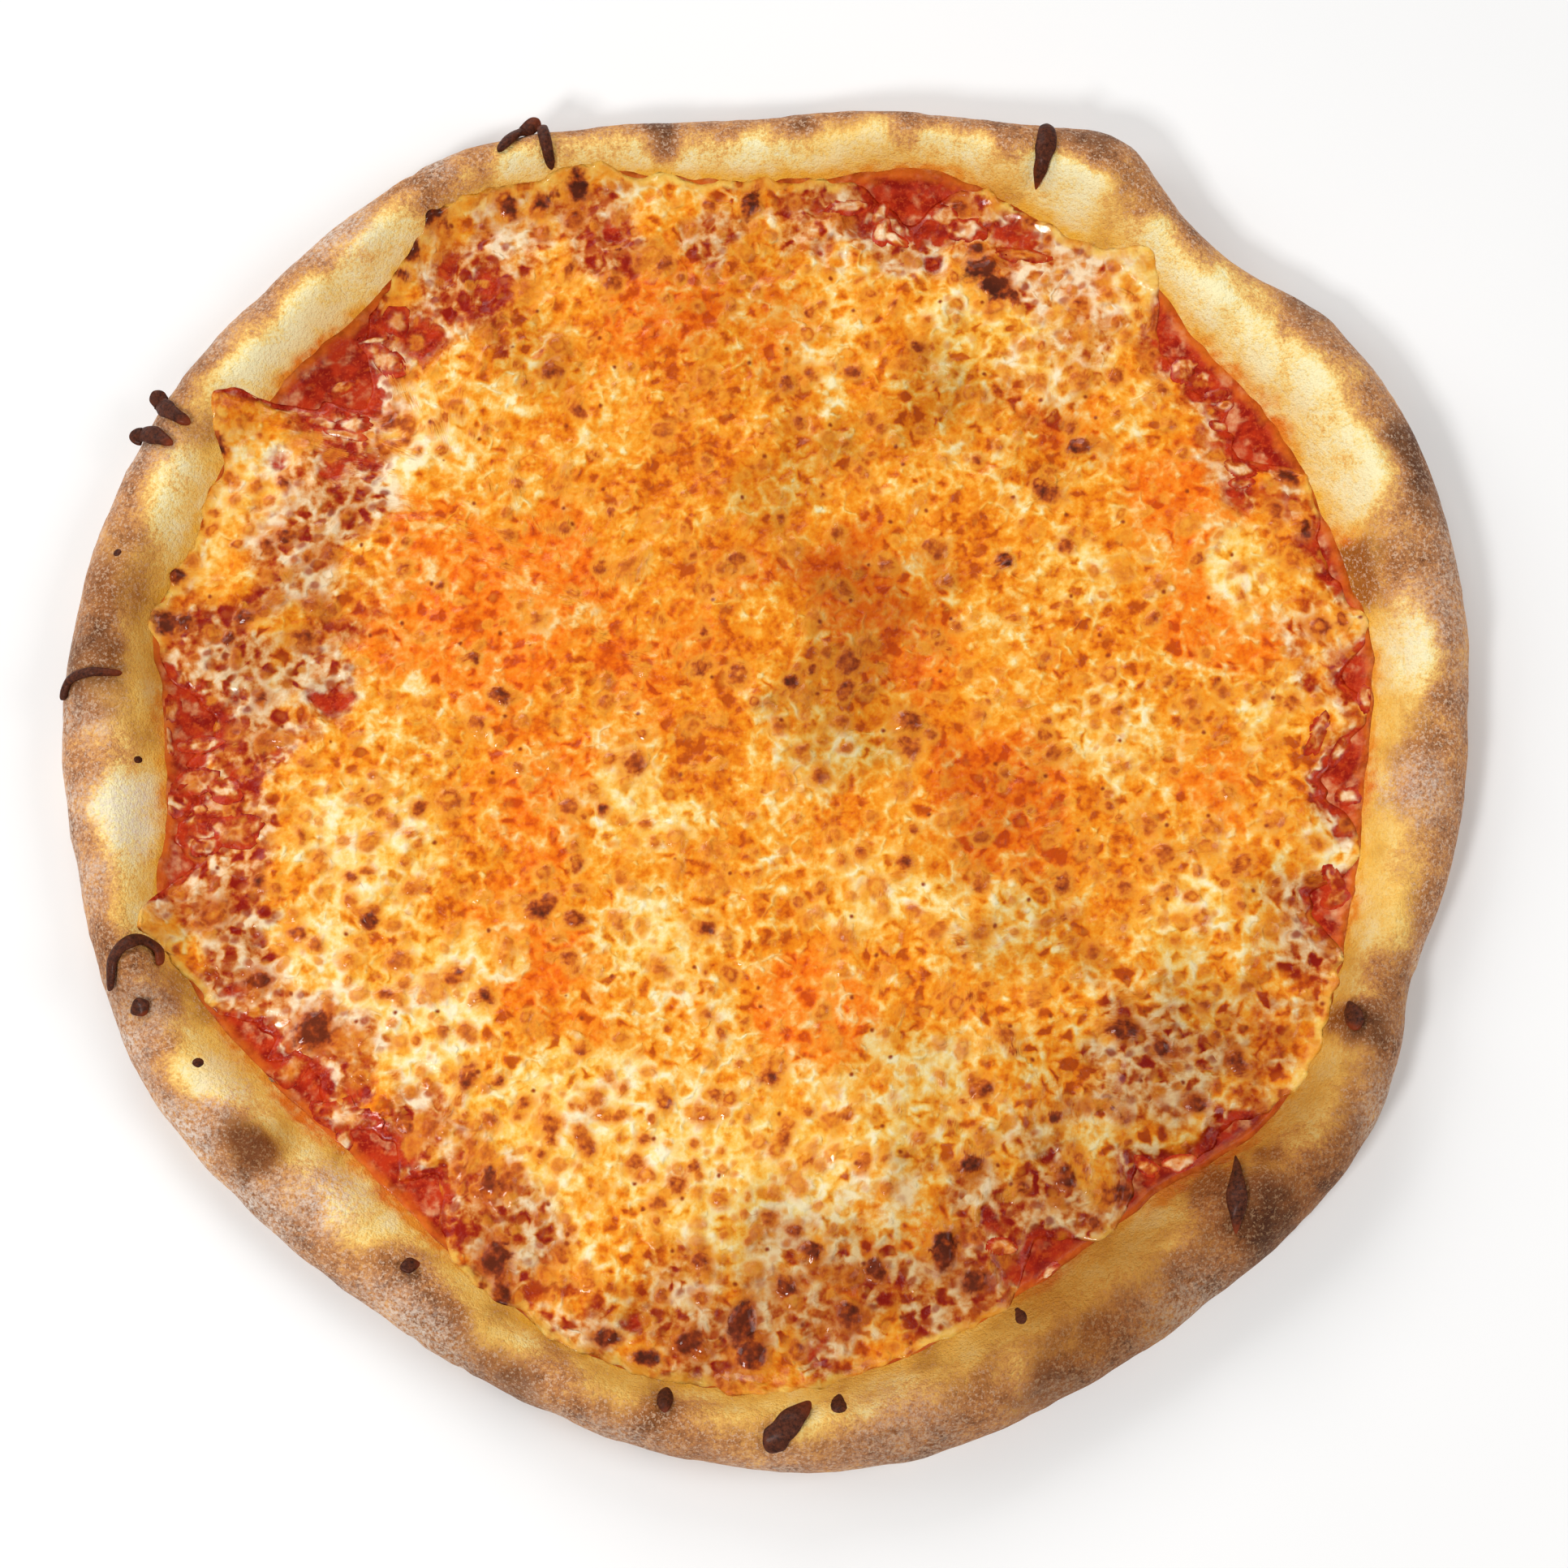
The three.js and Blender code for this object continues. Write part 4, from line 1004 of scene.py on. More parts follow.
# Duller, browner cheese, and places where shade is painted into the colour.
DULL_AND_SHADED_CHEESE = [
    (18, 14, 17, 0.8), (34, -74, 16, 0.5), (64, 70, 13, 0.25), (36, 84, 15, 0.9), (60, -40, 14, 0.6),
    (54, -14, 16, 0.45), (4, 66, 14, 0.6), (-8, 112, 24, 0.4), (88, -90, 16, 1), (0, 44, 12, 0.3),
    (22, 38, 18, 1), (90, -70, 19, 0.9), (98, -92, 34, 0.7), (56, -112, 28, 0.6), (10, -122, 26, 0.8),
    (34, -110, 18, 0.6), (-110, 28, 20, 0.5), (82, -92, 22, 0.6), (-22, -120, 16, 0.3),
    (58, -100, 20, 0.5), (30, -112, 16, 0.7), (0, -126, 14, 0.5), (108, -64, 15, 0.5),
    (118, -38, 12, 0.6), (126, -10, 10, 0.4), (96, -50, 12, 0.4), (62, -72, 14, 0.6),
    (-30, -126, 14, 0.5), (30, 128, 14, 0.4), (-8, -106, 12, 0.3), (-55, 98, 12, 0.5),
    (-100, 56, 12, 0.4), (-112, 18, 14, 0.4), (10, 78, 14, 0.3), (-118, -40, 12, 0.4),
    (-56, -112, 10, 0.5), (48, -18, 12, 0.3),
]


def drawn_cells(x, y, cell, seed, steps):
    """The cells of a square grid that lie up to some steps around each place: one after the other,
    the six numbers of 0 to 1 drawn for the cell, its column and its row."""
    drawn = np.random.default_rng(seed).uniform(0.0, 1.0, (128, 128, 6))
    for down, right in itertools.product(range(-steps, steps + 1), repeat=2):
        column = np.floor(x / cell).astype(int) + right
        row = np.floor(y / cell).astype(int) + down
        yield drawn[row % 128, column % 128], column, row


def drawn_blisters(x, y, sizes, likely, seed):
    """Round blisters, one drawn in each cell of a square grid. Gives how far inside a blister each
    place is, 1 at its middle, 0 at its edge and -1 well outside, and two numbers of 0 to 1 that
    belong to it. One whose draw passes the likelihood shrinks away. Where blisters meet, their
    numbers are mixed by how deep inside each the place is."""
    cell, smallest, largest = sizes
    inside = np.full(x.shape, -1.0)
    total = np.full(x.shape, 1e-9)
    numbers = np.zeros((*x.shape, 2))
    for own, column, row in drawn_cells(x, y, cell, seed, 1):
        away_x = (column + 0.1 + 0.8 * own[..., 0]) * cell - x
        away_y = (row + 0.1 + 0.8 * own[..., 1]) * cell - y
        reach = blend(smallest, largest, own[..., 2] ** 1.7)
        within = 1.0 - np.hypot(away_x, away_y) / reach - 5.0 * np.maximum(0.0, own[..., 3] - likely)
        weight = np.exp(6.0 * np.clip(within, -2.0, 1.0))
        total += weight
        numbers += weight[..., None] * own[..., 4:6]
        inside = np.maximum(inside, within)
    return inside, numbers[..., 0] / total, numbers[..., 1] / total


def long_shreds(x, y, seed):
    """1 along short bent shreds and 0 away from them, by a bell of the distance. One is drawn in
    each cell of a square grid, with a heading, a length and a bend, and a share of them is kept.
    Each is a parabola about its middle, and past its ends the distance is to the end."""
    nearest = np.full(x.shape, 9.0)
    for own, column, row in drawn_cells(x, y, SHRED_CELL, seed, 2):
        away_x = x - (column + own[..., 0]) * SHRED_CELL
        away_y = y - (row + own[..., 1]) * SHRED_CELL
        heading = math.pi * own[..., 2]
        along = away_x * np.cos(heading) + away_y * np.sin(heading)
        side = away_y * np.cos(heading) - away_x * np.sin(heading)
        side -= (own[..., 4] - 0.5) * (along / SHRED_REACH) ** 2 * SHRED_REACH
        past = np.maximum(np.abs(along) - SHRED_REACH * (0.35 + 0.65 * own[..., 3]), 0.0)
        nearest = np.minimum(nearest, np.where(own[..., 5] < SHREDS_KEPT, np.hypot(past, side), 9.0))
    return np.exp(-((nearest / SHRED_HALF_WIDTH) ** 2))


def cheese_edge(angle):
    """Radius of the cheese's outline: past the basin's edge, out by the tongues, in by the gaps,
    and lumpy, most of all in the gaps."""
    gap = strongest(SAUCE_GAPS, angle)
    lumpy = (1.0 + 0.12 * gap) * outline_lumps(angle, CHEESE_OUTLINE_LUMPS)
    lumpy += gap * outline_lumps(angle, GAP_OUTLINE_LUMPS)
    return around(BASIN_EDGE, angle) + CHEESE_OVERLAP + strongest(CHEESE_TONGUES, angle) - gap + lumpy


def melted_cheese(x, y):
    """The cheese at any places: its height, and numbers for its look. The height is that of what
    it lies on plus its thickness, with hills, shreds and blisters. It is thin where the sauce
    shows, and at the outline it dips into what it lies on."""
    angle = angle_of(x, y)
    from_edge = cheese_edge(angle) - np.hypot(x, y)
    bent_x = x + grains_of(x, y, 0.0, BENDS_IN_X)
    bent_y = y + grains_of(x, y, 5.0, BENDS_IN_Y)
    ragged = grains_of(x, y, 0.0, RAGGED_ZONES)
    zones = (OILY_CHEESE, GOLDEN_CHEESE, PALE_CHEESE, SAUCY_CHEESE, DULL_AND_SHADED_CHEESE)
    oily, golden, pale, saucy, dull = [patches(zone, x, y, ragged) for zone in zones]
    gap = np.clip(strongest(SAUCE_GAPS, angle) / 3.0, 0.0, 1.0)
    bare = 2.0 * gap * smooth(1.0 - from_edge / 6.0) - 1.0
    edge_ragged = grains_of(x, y, 0.0, RAGGED_BARE_SAUCE)
    for centre_x, centre_y, reach in BARE_SAUCE:
        away = np.hypot(x - centre_x, y - centre_y) + edge_ragged
        bare = np.maximum(bare, min(1.0, reach / 3.4) - away / (reach + 1.0))
    saucy = np.clip(np.maximum(saucy, 0.7 + 0.6 * bare), 0.0, 1.0)

    # How light the cheese is: broad pools and long shreds are light, thin places and holes dark.
    shreds = long_shreds(bent_x, bent_y, 73)
    pools = grains_of(x, y, 0.0, POOLS)
    light = 0.36 + 0.12 * shreds + 0.30 * pools + 0.24 * pale - 0.05 * oily - 0.10 * golden
    light = blend(light, 0.33 + 0.34 * shreds + 0.44 * pools + 0.24 * pale, 0.9 * saucy)

    # Blisters, where steam lifted the cheese and it browned: small golden ones, large brown ones,
    # and those of the list.
    likely = 0.34 + 0.50 * pale - 0.10 * oily - 0.30 * saucy
    inside, tone, ring = drawn_blisters(bent_x, bent_y, SMALL_BLISTERS, likely, 71)
    tone = 0.14 + 0.24 * tone + 0.02 * pale
    likely = 0.22 + 0.34 * pale - 0.06 * oily - 0.02 * saucy
    wide_inside, wide_tone, wide_ring = drawn_blisters(bent_x, bent_y, WIDE_BLISTERS, likely, 72)
    share = smooth(0.5 + (wide_inside - inside) / 0.5)
    tone = blend(tone, 0.22 + (0.30 + 0.12 * saucy) * wide_tone**1.7, share)
    ring = blend(ring, wide_ring, share)
    inside = np.maximum(inside, wide_inside)
    large = np.full_like(x, -1.0)
    for centre_x, centre_y, half_x, half_y, depth in BLISTERS:
        within = 1.15 - np.hypot((bent_x - centre_x) / half_x, (bent_y - centre_y) / half_y)
        large = np.maximum(large, within)
        share = smooth(1.0 + (within - inside) / 0.5)
        tone = blend(tone, 0.32 + 0.48 * depth, share)
        ring = blend(ring, 0.3, share)
        inside = np.maximum(inside, within)

    hills = 0.45 * unrest(x, y, 21.0, 5) + 0.3 * unrest(x, y, 12.5, 7)
    dome = smooth(1.5 * inside) * np.where(large > 0.0, 0.8, 0.42) - 0.16 * np.exp(-((inside / 0.3) ** 2))
    bumps = hills + 0.35 * smooth(2.0 * light - 0.3) + 0.25 * shreds + dome
    bumps += grains_of(x, y, 0.0, SMALL_BUMPS)
    swell = 1.0 - np.exp(-np.maximum(from_edge, 0.0) / (3.0 + 1.5 * gap))
    thick = FILM_THICKNESS + (CHEESE_THICKNESS - FILM_THICKNESS - 0.5 * saucy + bumps) * swell
    thick = blend(thick, np.minimum(thick, BARE_THICKNESS), smooth(1.1 * bare + 0.7))
    under = sauce_top(x, y) + CHEESE_CLEARANCE * smooth(from_edge / 4.0) - CHEESE_DIP
    edge = smooth(1.0 - from_edge / (4.0 + strongest(CHEESE_TONGUES, angle))) * (1.0 - gap)
    look = {
        "light": light, "inside": np.clip(inside, -1.0, 1.0), "tone": tone, "ring": ring,
        "oily": oily, "pale": pale, "golden": golden * (1.0 - pale), "saucy": saucy,
        "bare": np.clip(bare, -1.0, 1.0), "dull": dull, "edge": edge,
    }
    return under + thick, look


def cheese_bed(x, y):
    """Height of what the cheese's under side follows: the sauce, and lower where the cheese dips."""
    return np.minimum(sauce_top(x, y), melted_cheese(x, y)[0] - 0.4)


angle, share = disc_grid(CHEESE_COUNT)
radius = share * cheese_edge(angle)
x, y = place_at(angle, radius)
top, look = melted_cheese(x, y)
cheese = lying_sheet("melted_cheese", CHEESE_COUNT, x, y, top, CHEESE_SIDE, cheese_bed, look)


def bent_place(place, width_mm, reach_mm):
    """A place pushed about by up to the reach, by noise of a width."""
    pushes = lumps_of(place, width_mm, detail=1.0, output="Color")
    inputs = {0: pushes, 1: (reach_mm * MM,) * 3, 2: place}
    return Field(node_of(place.tree, "ShaderNodeVectorMath", inputs, operation="MULTIPLY_ADD"), "Vector")


def cell_pattern(place, cell_size, feature="F1"):
    """A flat pattern of random cells: its distances and, as a colour, numbers for each cell."""
    inputs = {"Vector": place, "Scale": 1.0 / cell_size}
    return node_of(place.tree, "ShaderNodeTexVoronoi", inputs, voronoi_dimensions="2D", feature=feature)


def own_number(pattern, channel):
    """A number of 0 to 1 that belongs to each cell of a pattern."""
    inputs = {"Color": Field(pattern, "Color")}
    return Field(node_of(pattern.id_data, "ShaderNodeSeparateColor", inputs), channel)


def scattered_spots(place, heading, length_mm, width_mm, kept_share):
    """One long round spot in each cell of a pattern that is turned and stretched: 1 at a spot's
    middle and 0 at its edge, with a share of the spots kept. Also gives a number for each spot."""
    turned = {
        "Vector": place, "Rotation": (0.0, 0.0, math.radians(heading)),
        "Scale": (length_mm * MM, width_mm * MM, MM),
    }
    stretched = Field(node_of(place.tree, "ShaderNodeMapping", turned, vector_type="TEXTURE"), "Vector")
    pattern = cell_pattern(stretched, 1.0)
    kept = step_from(own_number(pattern, "Red"), 0.95 - kept_share, 1.05 - kept_share)
    return (-2.0 * Field(pattern, "Distance") + 1.0) * kept, own_number(pattern, "Green")


def strand_net(place, cell_mm):
    """The walls between the cells of a random pattern: 1 along a wall, 0 inside a cell. Also gives
    1 in the middle of the cells that are holes and 0 elsewhere."""
    from_wall = Field(cell_pattern(place, cell_mm * MM, "DISTANCE_TO_EDGE"), "Distance")
    open_cells = step_from(own_number(cell_pattern(place, cell_mm * MM), "Red"), 0.3, 0.8)
    return step_from(from_wall, 0.34, 0.0), step_from(from_wall, 0.12, 0.42) * open_cells


def squiggles(place, width_mm, thickness, kept_low, kept_high):
    """Thin bent lines along which a noise is at its middle value, kept where a second, wider noise
    passes from the low to the high value."""
    from_line = worked_out("ABSOLUTE", lumps_of(place, width_mm, detail=1.0) - 0.5)
    kept = step_from(lumps_of(place, 1.9 * width_mm), kept_low, kept_high)
    return step_from(from_line, thickness, 0.0) * kept


cheese_finish, shader, place = fresh_material(
    "oily_mozzarella", roughness=0.36, gloss=0.12, coat_roughness=0.06
)
light, inside, tone, ring = [number_at(place, label) for label in ("light", "inside", "tone", "ring")]
oily, pale, golden = [number_at(place, label) for label in ("oily", "pale", "golden")]
saucy, dull = [number_at(place, label) for label in ("saucy", "dull")]
fine = lumps_of(place, 0.65, detail=3.0)
soft = lumps_of(place, 3.0)
granules = lumps_of(place, 2.4, detail=4.0)
bent = bent_place(place, 2.4, 1.8)
blobs = step_from(lumps_of(bent, 1.8, detail=1.5), 0.54, 0.74)
shreds = worked_out("MAXIMUM", squiggles(bent, 3.0, 0.13, 0.44, 0.60), blobs)
dabs = step_from(lumps_of(bent, 2.2), 0.45, 0.28)
# The grain is strong where the sauce shows and weak in oily cheese.
contrast = 0.6 * saucy + 0.35 * dull - 0.3 * oily - 0.25 * golden + 1.1
light = light + (granules - 0.5) * contrast + swing(fine, 0.6)
light = light + 0.30 * shreds - 0.08 * dabs - 0.09
# A net of strands, left between the holes that the bubbles made.
strands, pits = strand_net(bent_place(bent_place(place, 1.6, 2.0), 4.0, 3.6), 4.4)
net_share = 0.8 * dull + 0.3 * saucy - 0.15 * pale - 0.35 * golden + 1.0
light = light + (0.14 * strands - 0.34 * pits + 0.02) * (net_share * (2.6 * soft - 0.3))
plain_cheese = ramp(light, [
    (0.0, 190, 80, 8), (0.14, 220, 106, 10), (0.28, 237, 130, 16), (0.42, 245, 150, 30),
    (0.56, 250, 172, 58), (0.70, 252, 196, 98), (0.85, 253, 218, 142), (1.0, 254, 236, 184),
])
oily_cheese = ramp(light, [
    (0.0, 206, 76, 6), (0.14, 230, 96, 8), (0.28, 244, 114, 12), (0.42, 249, 130, 22),
    (0.60, 251, 152, 50), (0.80, 252, 188, 102), (1.0, 253, 218, 156),
])
pale_cheese = ramp(light, [
    (0.0, 206, 98, 12), (0.18, 232, 138, 24), (0.34, 248, 170, 50), (0.5, 252, 196, 88),
    (0.68, 254, 216, 132), (0.84, 255, 232, 166), (1.0, 255, 240, 198),
])
saucy_cheese = ramp(light, [
    (0.0, 150, 24, 6), (0.16, 170, 46, 12), (0.30, 190, 84, 24), (0.44, 212, 124, 54),
    (0.58, 228, 160, 98), (0.76, 240, 194, 144), (1.0, 252, 226, 188),
])
colour = mix(step_from(oily + swing(soft, 0.6), 0.05, 0.8), plain_cheese, oily_cheese)
colour = mix(step_from(pale + swing(soft, 0.9), 0.15, 0.75), colour, pale_cheese)
sauce_share = saucy + swing(soft, 1.0)
colour = mix(step_from(sauce_share, 0.15, 0.8), colour, saucy_cheese)
# Small holes where the sauce below shows through.
holes, hole_depth = scattered_spots(bent_place(place, 1.8, 1.6), 20.0, 4.2, 3.4, 0.6)
hole_share = step_from(holes, 0.15, 0.75) * step_from(sauce_share, 0.3, 0.9)
colour = mix(0.85 * hole_share, colour, mix(hole_depth, (148, 30, 10), (190, 84, 26)))
# At its rim the cheese thins to a golden film, with an uneven border.
film = number_at(place, "edge") + swing(granules, 2.0)
film_colour = mix(step_from(soft, 0.32, 0.6), (240, 160, 46), (252, 206, 96))
colour = mix(0.85 * step_from(film, 0.3, 0.95), colour, film_colour)
# Small golden spots, most of them in the pale cheese.
small, small_tone = scattered_spots(bent_place(place, 1.6, 1.2), 0.0, 2.9, 2.9, 0.34)
small_share = step_from(small, 0.0, 0.9) * (0.6 * pale + 0.25)
colour = mix(small_share, colour, mix(small_tone, (248, 176, 58), (222, 120, 28)))
# Bare sauce, with an uneven edge.
bare_share = number_at(place, "bare") + swing(granules, 2.8) - 0.35 * shreds
colour = mix(step_from(bare_share, -0.35, 0.5), colour, sauce_colour(place))
# Blisters: a golden halo, then browner towards the middle, and lighter in the middle of some.
rounded = inside + swing(fine, 0.5) + swing(granules, 1.5)
warm = step_from(tone, 0.15, 0.4)
halo = step_from(rounded, -0.7, 0.1) * warm * (-0.35 * saucy + 0.8)
halo_colour = mix(step_from(sauce_share, 0.2, 0.9), (240, 156, 48), (206, 106, 40))
colour = mix(halo, colour, halo_colour)
hollow = step_from(ring, 0.5, 0.9) * step_from(rounded, 0.4, 0.9)
depth = (0.65 * step_from(rounded, -0.1, 0.7) + 0.45) * (-0.5 * hollow + 1.0)
browning = tone * depth * (1.9 * lumps_of(place, 1.1) + 0.05)
browned = ramp(browning, [
    (0.08, 250, 174, 56), (0.20, 238, 144, 36), (0.34, 212, 108, 24), (0.50, 172, 74, 18),
    (0.66, 126, 48, 14), (0.85, 76, 28, 10),
])
browned = mix(0.3 * sauce_share, browned, (168, 66, 22))
browned_share = step_from(rounded, -0.2, 0.42) * (0.15 * warm + 0.85)
colour = mix(browned_share, colour, browned)
specks, _ = scattered_spots(bent_place(place, 1.0, 0.5), 30.0, 9.0, 9.0, 0.24)
colour = mix(step_from(specks, 0.82, 0.97), colour, (156, 62, 14))
# Painted shade, with duller and browner cheese: a warm darkening in the cheese's dull zones.
feed(shader["Base Color"], dulled_and_shaded(place, colour, (210, 200, 176)))
feed(shader["Roughness"], 0.4 * (browned_share * browning) + 0.34)
feed(shader["Coat Weight"], 0.40 * shreds + 0.10)
relief(shader, ripples(place, 1.3) + 0.3 * fine + 0.6 * shreds + 0.6 * granules, 0.42)
cheese.data.materials.append(cheese_finish)
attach(cheese, "root")
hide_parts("cheese")

# ---------------------------------------------------------------- stray cheese
# Bits of cheese that lie on the sauce near the rim. They melted into low lumps with an uneven
# outline, and some have a brown blister.
# The ones that stand out: x, y, half length, half width and heading in degrees.
ISLANDS = [
    (-94, -80.5, 6.2, 2.7, -8), (-104.7, -70.7, 3.6, 2, 55), (-110, -73.5, 1.6, 1.5, 0),
    (-92.7, -86, 2.2, 1.3, 75), (-135, 11, 2.8, 1.7, 90), (-135.3, 4, 2.8, 1.4, 100),
    (-126.7, 3.5, 4.8, 1.4, 5), (-128.4, -4.8, 4.2, 2.4, 30), (-121.4, -7.6, 3.2, 2.6, 0),
    (-127.7, -11.5, 1.7, 1.1, 0), (-133, -10.5, 2.6, 2.2, 0), (-125.6, -20, 2.6, 1.8, 20),
    (-119, -17, 4.6, 3, 0), (-92, 99.5, 3, 0.9, 10), (-88.5, 95, 4.8, 2.3, -40),
    (-98.5, 88.5, 2.2, 1.3, 20), (-86, 104, 3, 2.6, 60), (-95, 79, 3.4, 2.2, 10), (-97, 76.5, 4, 1, -15),
    (-103, 79.5, 3.6, 1, -15), (101, 90, 2.8, 1.7, 30), (105, 86.5, 2.2, 1.4, 0),
    (106.5, 84, 1.7, 1.1, 20), (105, 78.5, 1.9, 1, -10), (97, 92.5, 3.2, 2, 50), (110, 68, 2.8, 1.9, -20),
    (109.5, 65, 2.2, 1.1, 10), (20, 132.5, 4.4, 1.6, 10), (27, 131.5, 2.8, 1.6, 60),
    (27, 127, 3, 1.5, 80), (42, 130, 2.8, 1.8, -30), (46.5, 127, 3.8, 2.2, -10), (30, 124.5, 3, 1.4, -30),
    (60, 120.5, 4.6, 1.5, -10), (84, -92, 3, 1.3, -30), (91, -91, 3, 1.6, 10), (62, -116, 3, 1.7, 50),
    (52, -109, 2.4, 1.5, 0), (124.5, 5, 4.4, 1.3, 70), (130, 2, 3, 1.1, 60), (131.5, -8.5, 2.4, 1.8, -20),
    (127, -27, 3.2, 1.5, -50), (128, -32, 3, 1.8, 20), (136, 14, 2.6, 1.4, 80),
]
ISLAND_SPREAD = 1.35
ISLAND_HEIGHT = 0.4
BROWNED_FROM_HALF_WIDTH = 1.2
FULL_HEIGHT_FROM_HALF_WIDTH = 1.6
LUMP_LIFT = 0.03
LUMP_RINGS = 5
LUMP_SIDES = 18
LUMP_DEPTH = 0.5


def topping_top(x, y):
    """Height of the topping: that of the cheese inside its outline and that of the sauce outside."""
    inside = np.hypot(x, y) < cheese_edge(angle_of(x, y))
    return np.where(inside, melted_cheese(x, y)[0], sauce_top(x, y))


def low_lumps(name, places, lies_on, height, reach, numbers_from):
    """Low closed lumps, one for each (x, y, half length, half width, heading in degrees): rings
    from a pole on top out to an uneven oval, with a height of one minus the squared share of the
    way out, to the power 1.5, then one ring under the ground and a pole. They are held inside the
    reach for their angle."""
    centre_x, centre_y, half_length, half_width, heading = [
        column[:, None, None] for column in np.array(places, dtype=float).T
    ]
    heading = np.radians(heading)
    turn = np.linspace(0.0, 2 * math.pi, LUMP_SIDES, endpoint=False)[None, None, :]
    share = np.append(np.sin(np.linspace(0.0, math.pi / 2, LUMP_RINGS + 1))[1:], 0.9)[None, :, None]
    along = half_length * np.cos(turn)
    across = half_width * np.sin(turn)
    uneven = 1.0 + 0.35 * grain(centre_x + along, centre_y + across, 0.0 * along, 2.2, 92)
    x = centre_x + share * uneven * (along * np.cos(heading) - across * np.sin(heading))
    y = centre_y + share * uneven * (along * np.sin(heading) + across * np.cos(heading))
    held = np.minimum(1.0, reach(angle_of(x, y)) / np.hypot(x, y))
    x, y = x * held, y * held
    full = height * np.minimum(1.0, half_width / FULL_HEIGHT_FROM_HALF_WIDTH)
    rise = full * (1.0 - share**2) ** 1.5 + LUMP_LIFT
    rise[:, -1] = -LUMP_DEPTH
    z = lies_on(x, y) + rise
    rows = LUMP_RINGS + 1
    count = len(places)
    per_lump = rows * LUMP_SIDES
    first = (np.arange(count) * per_lump)[:, None, None]
    points = [np.stack([x, y, z], axis=-1).reshape(-1, 3)]
    faces = [(first + ring_faces(rows, LUMP_SIDES)[None]).reshape(-1, 4)]
    for pole, row, outwards in ((0, 0, True), (1, rows - 1, False)):
        middle = z[:, row : row + 1].mean(axis=2, keepdims=True)
        points.append(np.stack([centre_x, centre_y, middle], axis=-1).reshape(-1, 3))
        fan = first + fan_faces(0, row * LUMP_SIDES + np.arange(LUMP_SIDES), outwards)[None]
        fan[..., 0] = (count * per_lump + pole * count + np.arange(count))[:, None]
        faces.append(fan.reshape(-1, 3))
    way_out = np.concatenate([np.broadcast_to(share, z.shape).reshape(-1), np.zeros(count), np.ones(count)])
    lump = np.concatenate([np.repeat(np.arange(count), per_lump), np.arange(count), np.arange(count)])
    piece = make_piece(name, np.concatenate(points), faces, numbers_from(way_out, lump))
    side = np.arange((rows - 2) * LUMP_SIDES, (rows - 1) * LUMP_SIDES)
    keep_flat(piece, (np.arange(count)[:, None] * (rows - 1) * LUMP_SIDES + side).reshape(-1))
    return piece


draw = np.random.default_rng(91)
islands = np.array(ISLANDS, dtype=float)
islands[:, 2:4] *= ISLAND_SPREAD
wide = islands[:, 3] > BROWNED_FROM_HALF_WIDTH
browned_middle = np.where(wide, draw.uniform(-1.4, 0.6, len(islands)), -1.0)


def stray_look(way_out, lump):
    """The numbers that the cheese's finish reads, for a share of the way out of a lump: lighter
    and, in some, browned in the middle, and bare sauce at the outline."""
    none = 0.0 * way_out
    return {
        "light": 0.54 - 0.26 * way_out**2, "inside": browned_middle[lump] - 1.3 * way_out,
        "tone": none + 0.35, "pale": none + 0.3, "saucy": none + 0.9, "bare": 1.9 * way_out - 1.1,
        "ring": none, "oily": none, "golden": none, "dull": none, "edge": none,
    }


stray = low_lumps(
    "stray_melted_cheese", islands, topping_top, ISLAND_HEIGHT,
    lambda angle: around(BASIN_EDGE, angle) - 0.2, stray_look,
)
stray.data.materials.append(cheese_finish)
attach(stray, "root")

# ---------------------------------------------------------------- burnt shreds
# Shreds of cheese that fell on the hot rim and burnt nearly black. Each lies flat on the dough
# with rounded ends, redder where it was joined to the cheese.
# Path, width, and the share of the width that each end has.
BURNT_SHREDS = [
    ([(-62, 141), (-57.5, 146.5), (-53, 151)], 3.6, (0.6, 0.9)),
    ([(-50, 139.5), (-51.3, 144.5), (-52.4, 149.2)], 2.9, (0.7, 0.9)),
    ([(-140.5, 84.5), (-136, 79), (-131, 75.5)], 4.0, (0.9, 0.6)),
    ([(-145.5, 74), (-140, 73.5), (-134.5, 70.5)], 4.4, (0.9, 0.6)),
    ([(65, 147), (64.5, 141), (63, 134)], 4.5, (0.95, 0.4)),
    ([(-142.5, -54), (-141.5, -47.5), (-138, -43.8), (-134.6, -45), (-133.2, -49)], 3.4, (0.7, 0.8)),
    ([(-137, -56), (-136, -58), (-135, -60)], 4.6, (0.8, 0.8)),
    ([(0.5, -152), (5, -147.5), (10, -143.5)], 5.6, (0.95, 0.7)),
    ([(103, -91), (101.8, -98), (101, -107)], 4.8, (0.3, 0.3)),
    ([(128.8, -57), (129, -60), (129, -63.5)], 4.6, (0.7, 1.0)),
    ([(-21, -140.5), (-21.2, -142.5), (-21, -145)], 3.4, (0.9, 0.8)),
    ([(-156.5, 11.5), (-155, 15.5), (-150, 16.8), (-144, 16.5)], 2.4, (0.9, 0.6)),
    ([(-78.5, -114.5), (-76.5, -114.2), (-74.5, -114)], 4.0, (0.7, 0.7)),
]
# Small drops of cheese that burnt on the rim: x, y, half length, half width and heading in degrees.
BURNT_DROPS = [
    (55, -124, 2.1, 1.5, 100), (16, -143, 2.6, 1.6, 80), (-146, 45, 0.9, 0.8, 0),
    (-123, -70, 1.3, 1.1, 0), (-140, -2, 1.1, 1, 0),
]
BURNT_DROP_HEIGHT = 0.7
SHRED_HALF_THICKNESS = 0.85
SHRED_LIFT = 0.12
SHRED_STEPS = 60
SHRED_SIDES = 28


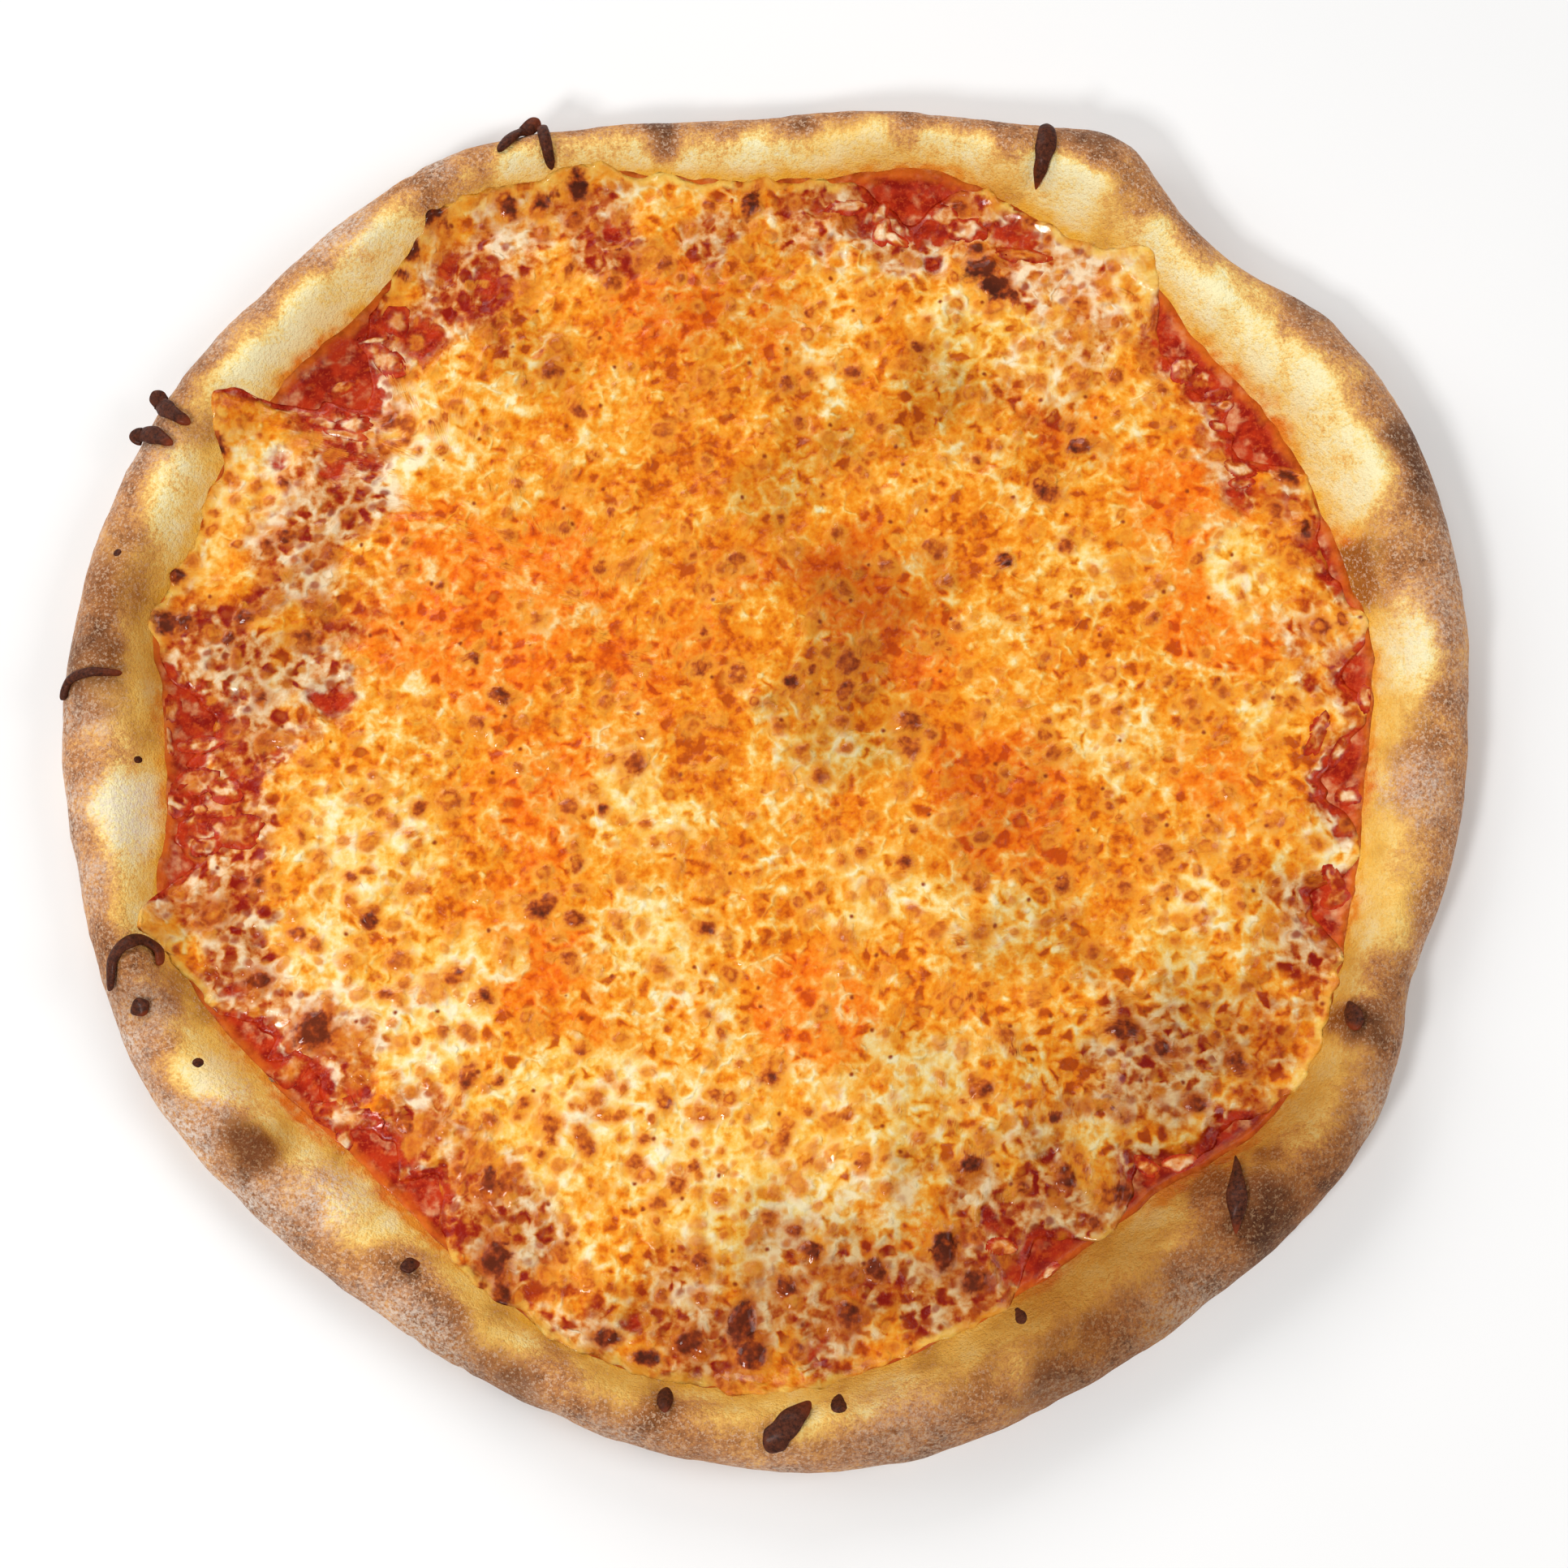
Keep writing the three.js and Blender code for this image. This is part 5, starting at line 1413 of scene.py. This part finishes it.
def along_path(path, shares):
    """Points of a path at shares of its length: a curve through the given points, whose slope at
    each is half the way between its neighbours, walked at an even pace."""
    knots = np.array(path, dtype=float)
    knots = np.concatenate([[2 * knots[0] - knots[1]], knots, [2 * knots[-1] - knots[-2]]])
    t = np.linspace(0.0, len(path) - 1 - 1e-9, 400)
    index = t.astype(int)
    t = (t - index)[:, None]
    a, b, c, d = (knots[index + step] for step in range(4))
    curve = b + 0.5 * t * (c - a + t * (2 * a - 5 * b + 4 * c - d + t * (3 * (b - c) + d - a)))
    length = np.concatenate([[0.0], np.cumsum(np.linalg.norm(np.diff(curve, axis=0), axis=1))])
    return np.stack([np.interp(shares * length[-1], length, curve[:, axis]) for axis in (0, 1)], axis=-1)


def resting_height(x, y):
    """Height of the crust's upper side, held level past the rim's outer edge."""
    held = np.minimum(1.0, (around(OUTER_EDGE, angle_of(x, y)) - 1.2) / np.hypot(x, y))
    return crust_top(x * held, y * held)


def unit(vectors):
    """The vectors, made one long."""
    return vectors / np.linalg.norm(vectors, axis=1, keepdims=True)


def lying_strip(path, width, ends, seed):
    """A flat strip with rounded ends: ellipses carried along a path on the crust, their width
    tapered to both ends, with lumps. Gives the points and each one's share of the way along."""
    shares = 0.5 - 0.5 * np.cos(np.linspace(0.0, math.pi, SHRED_STEPS))
    flat = along_path(path, shares)
    x, y = flat.T
    heading = unit(np.stack([*np.gradient(flat, axis=0).T, np.zeros(SHRED_STEPS)], axis=-1))
    rise_x = resting_height(x + 0.5, y) - resting_height(x - 0.5, y)
    rise_y = resting_height(x, y + 0.5) - resting_height(x, y - 0.5)
    normal = unit(np.stack([-rise_x, -rise_y, np.ones(SHRED_STEPS)], axis=-1))
    side = unit(np.cross(heading, normal))
    length = np.linalg.norm(np.diff(flat, axis=0), axis=1).sum()
    from_end = np.minimum(shares, 1.0 - shares) * length / (0.5 * width)
    rounding = np.sqrt(np.clip(1.0 - (1.0 - np.minimum(from_end, 1.0)) ** 2, 0.0, 1.0))
    taper = blend(blend(ends[0], 1.0, smooth(2 * shares)), ends[1], smooth(2 * shares - 1))
    turn = np.linspace(0.0, 2 * math.pi, SHRED_SIDES, endpoint=False)
    lumps = 1.0 + 0.16 * grain(x[:, None], y[:, None], 3 * np.sin(turn)[None, :], 2.2, seed)
    half_width = (0.5 * width * taper * rounding)[:, None] * lumps
    half_height = (SHRED_HALF_THICKNESS * np.sqrt(rounding))[:, None] * lumps
    middle = np.stack([x, y, resting_height(x, y)], axis=-1) + normal * (SHRED_HALF_THICKNESS + SHRED_LIFT)
    points = (
        middle[:, None, :]
        + side[:, None, :] * (half_width * np.cos(turn))[..., None]
        + normal[:, None, :] * (half_height * np.sin(turn))[..., None]
    )
    return points, np.repeat(shares, SHRED_SIDES)


burnt_finish, shader, place = fresh_material(
    "burnt_cheese", roughness=0.55, gloss=0.12, coat=0.05, coat_roughness=0.2
)
black = mix(speckle(place, 0.5, 3.0), (46, 20, 13), (98, 48, 28))
joined_end = step_from(number_at(place, "along") + swing(lumps_of(place, 2.0), 0.5), 0.7, 1.05)
feed(shader["Base Color"], mix(joined_end, black, (128, 52, 22)))
relief(shader, lumps_of(place, 0.6, detail=3.0), 0.3)

first_ring = np.arange(SHRED_SIDES)
last_ring = (SHRED_STEPS - 1) * SHRED_SIDES + first_ring
strip_faces = [
    ring_faces(SHRED_STEPS, SHRED_SIDES),
    fan_faces(SHRED_STEPS * SHRED_SIDES, first_ring, outwards=True),
    fan_faces(SHRED_STEPS * SHRED_SIDES + 1, last_ring, outwards=False),
]
for index, (path, width, ends) in enumerate(BURNT_SHREDS, start=1):
    points, shares = lying_strip(path, width, ends, 80 + index)
    body = np.concatenate([points.reshape(-1, 3), [points[0].mean(axis=0), points[-1].mean(axis=0)]])
    along = {"along": np.append(shares, [0.0, 1.0])}
    strip = make_piece(f"burnt_cheese_shred_{index}", body, strip_faces, along)
    strip.data.materials.append(burnt_finish)
    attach(strip, "root")
    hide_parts(f"burnt_shred_{index}")

drops = low_lumps(
    "burnt_cheese_drops", BURNT_DROPS, resting_height, BURNT_DROP_HEIGHT,
    lambda angle: around(OUTER_EDGE, angle), lambda way_out, lump: {"along": 0.2 + 0.5 * way_out},
)
drops.data.materials.append(burnt_finish)
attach(drops, "root")
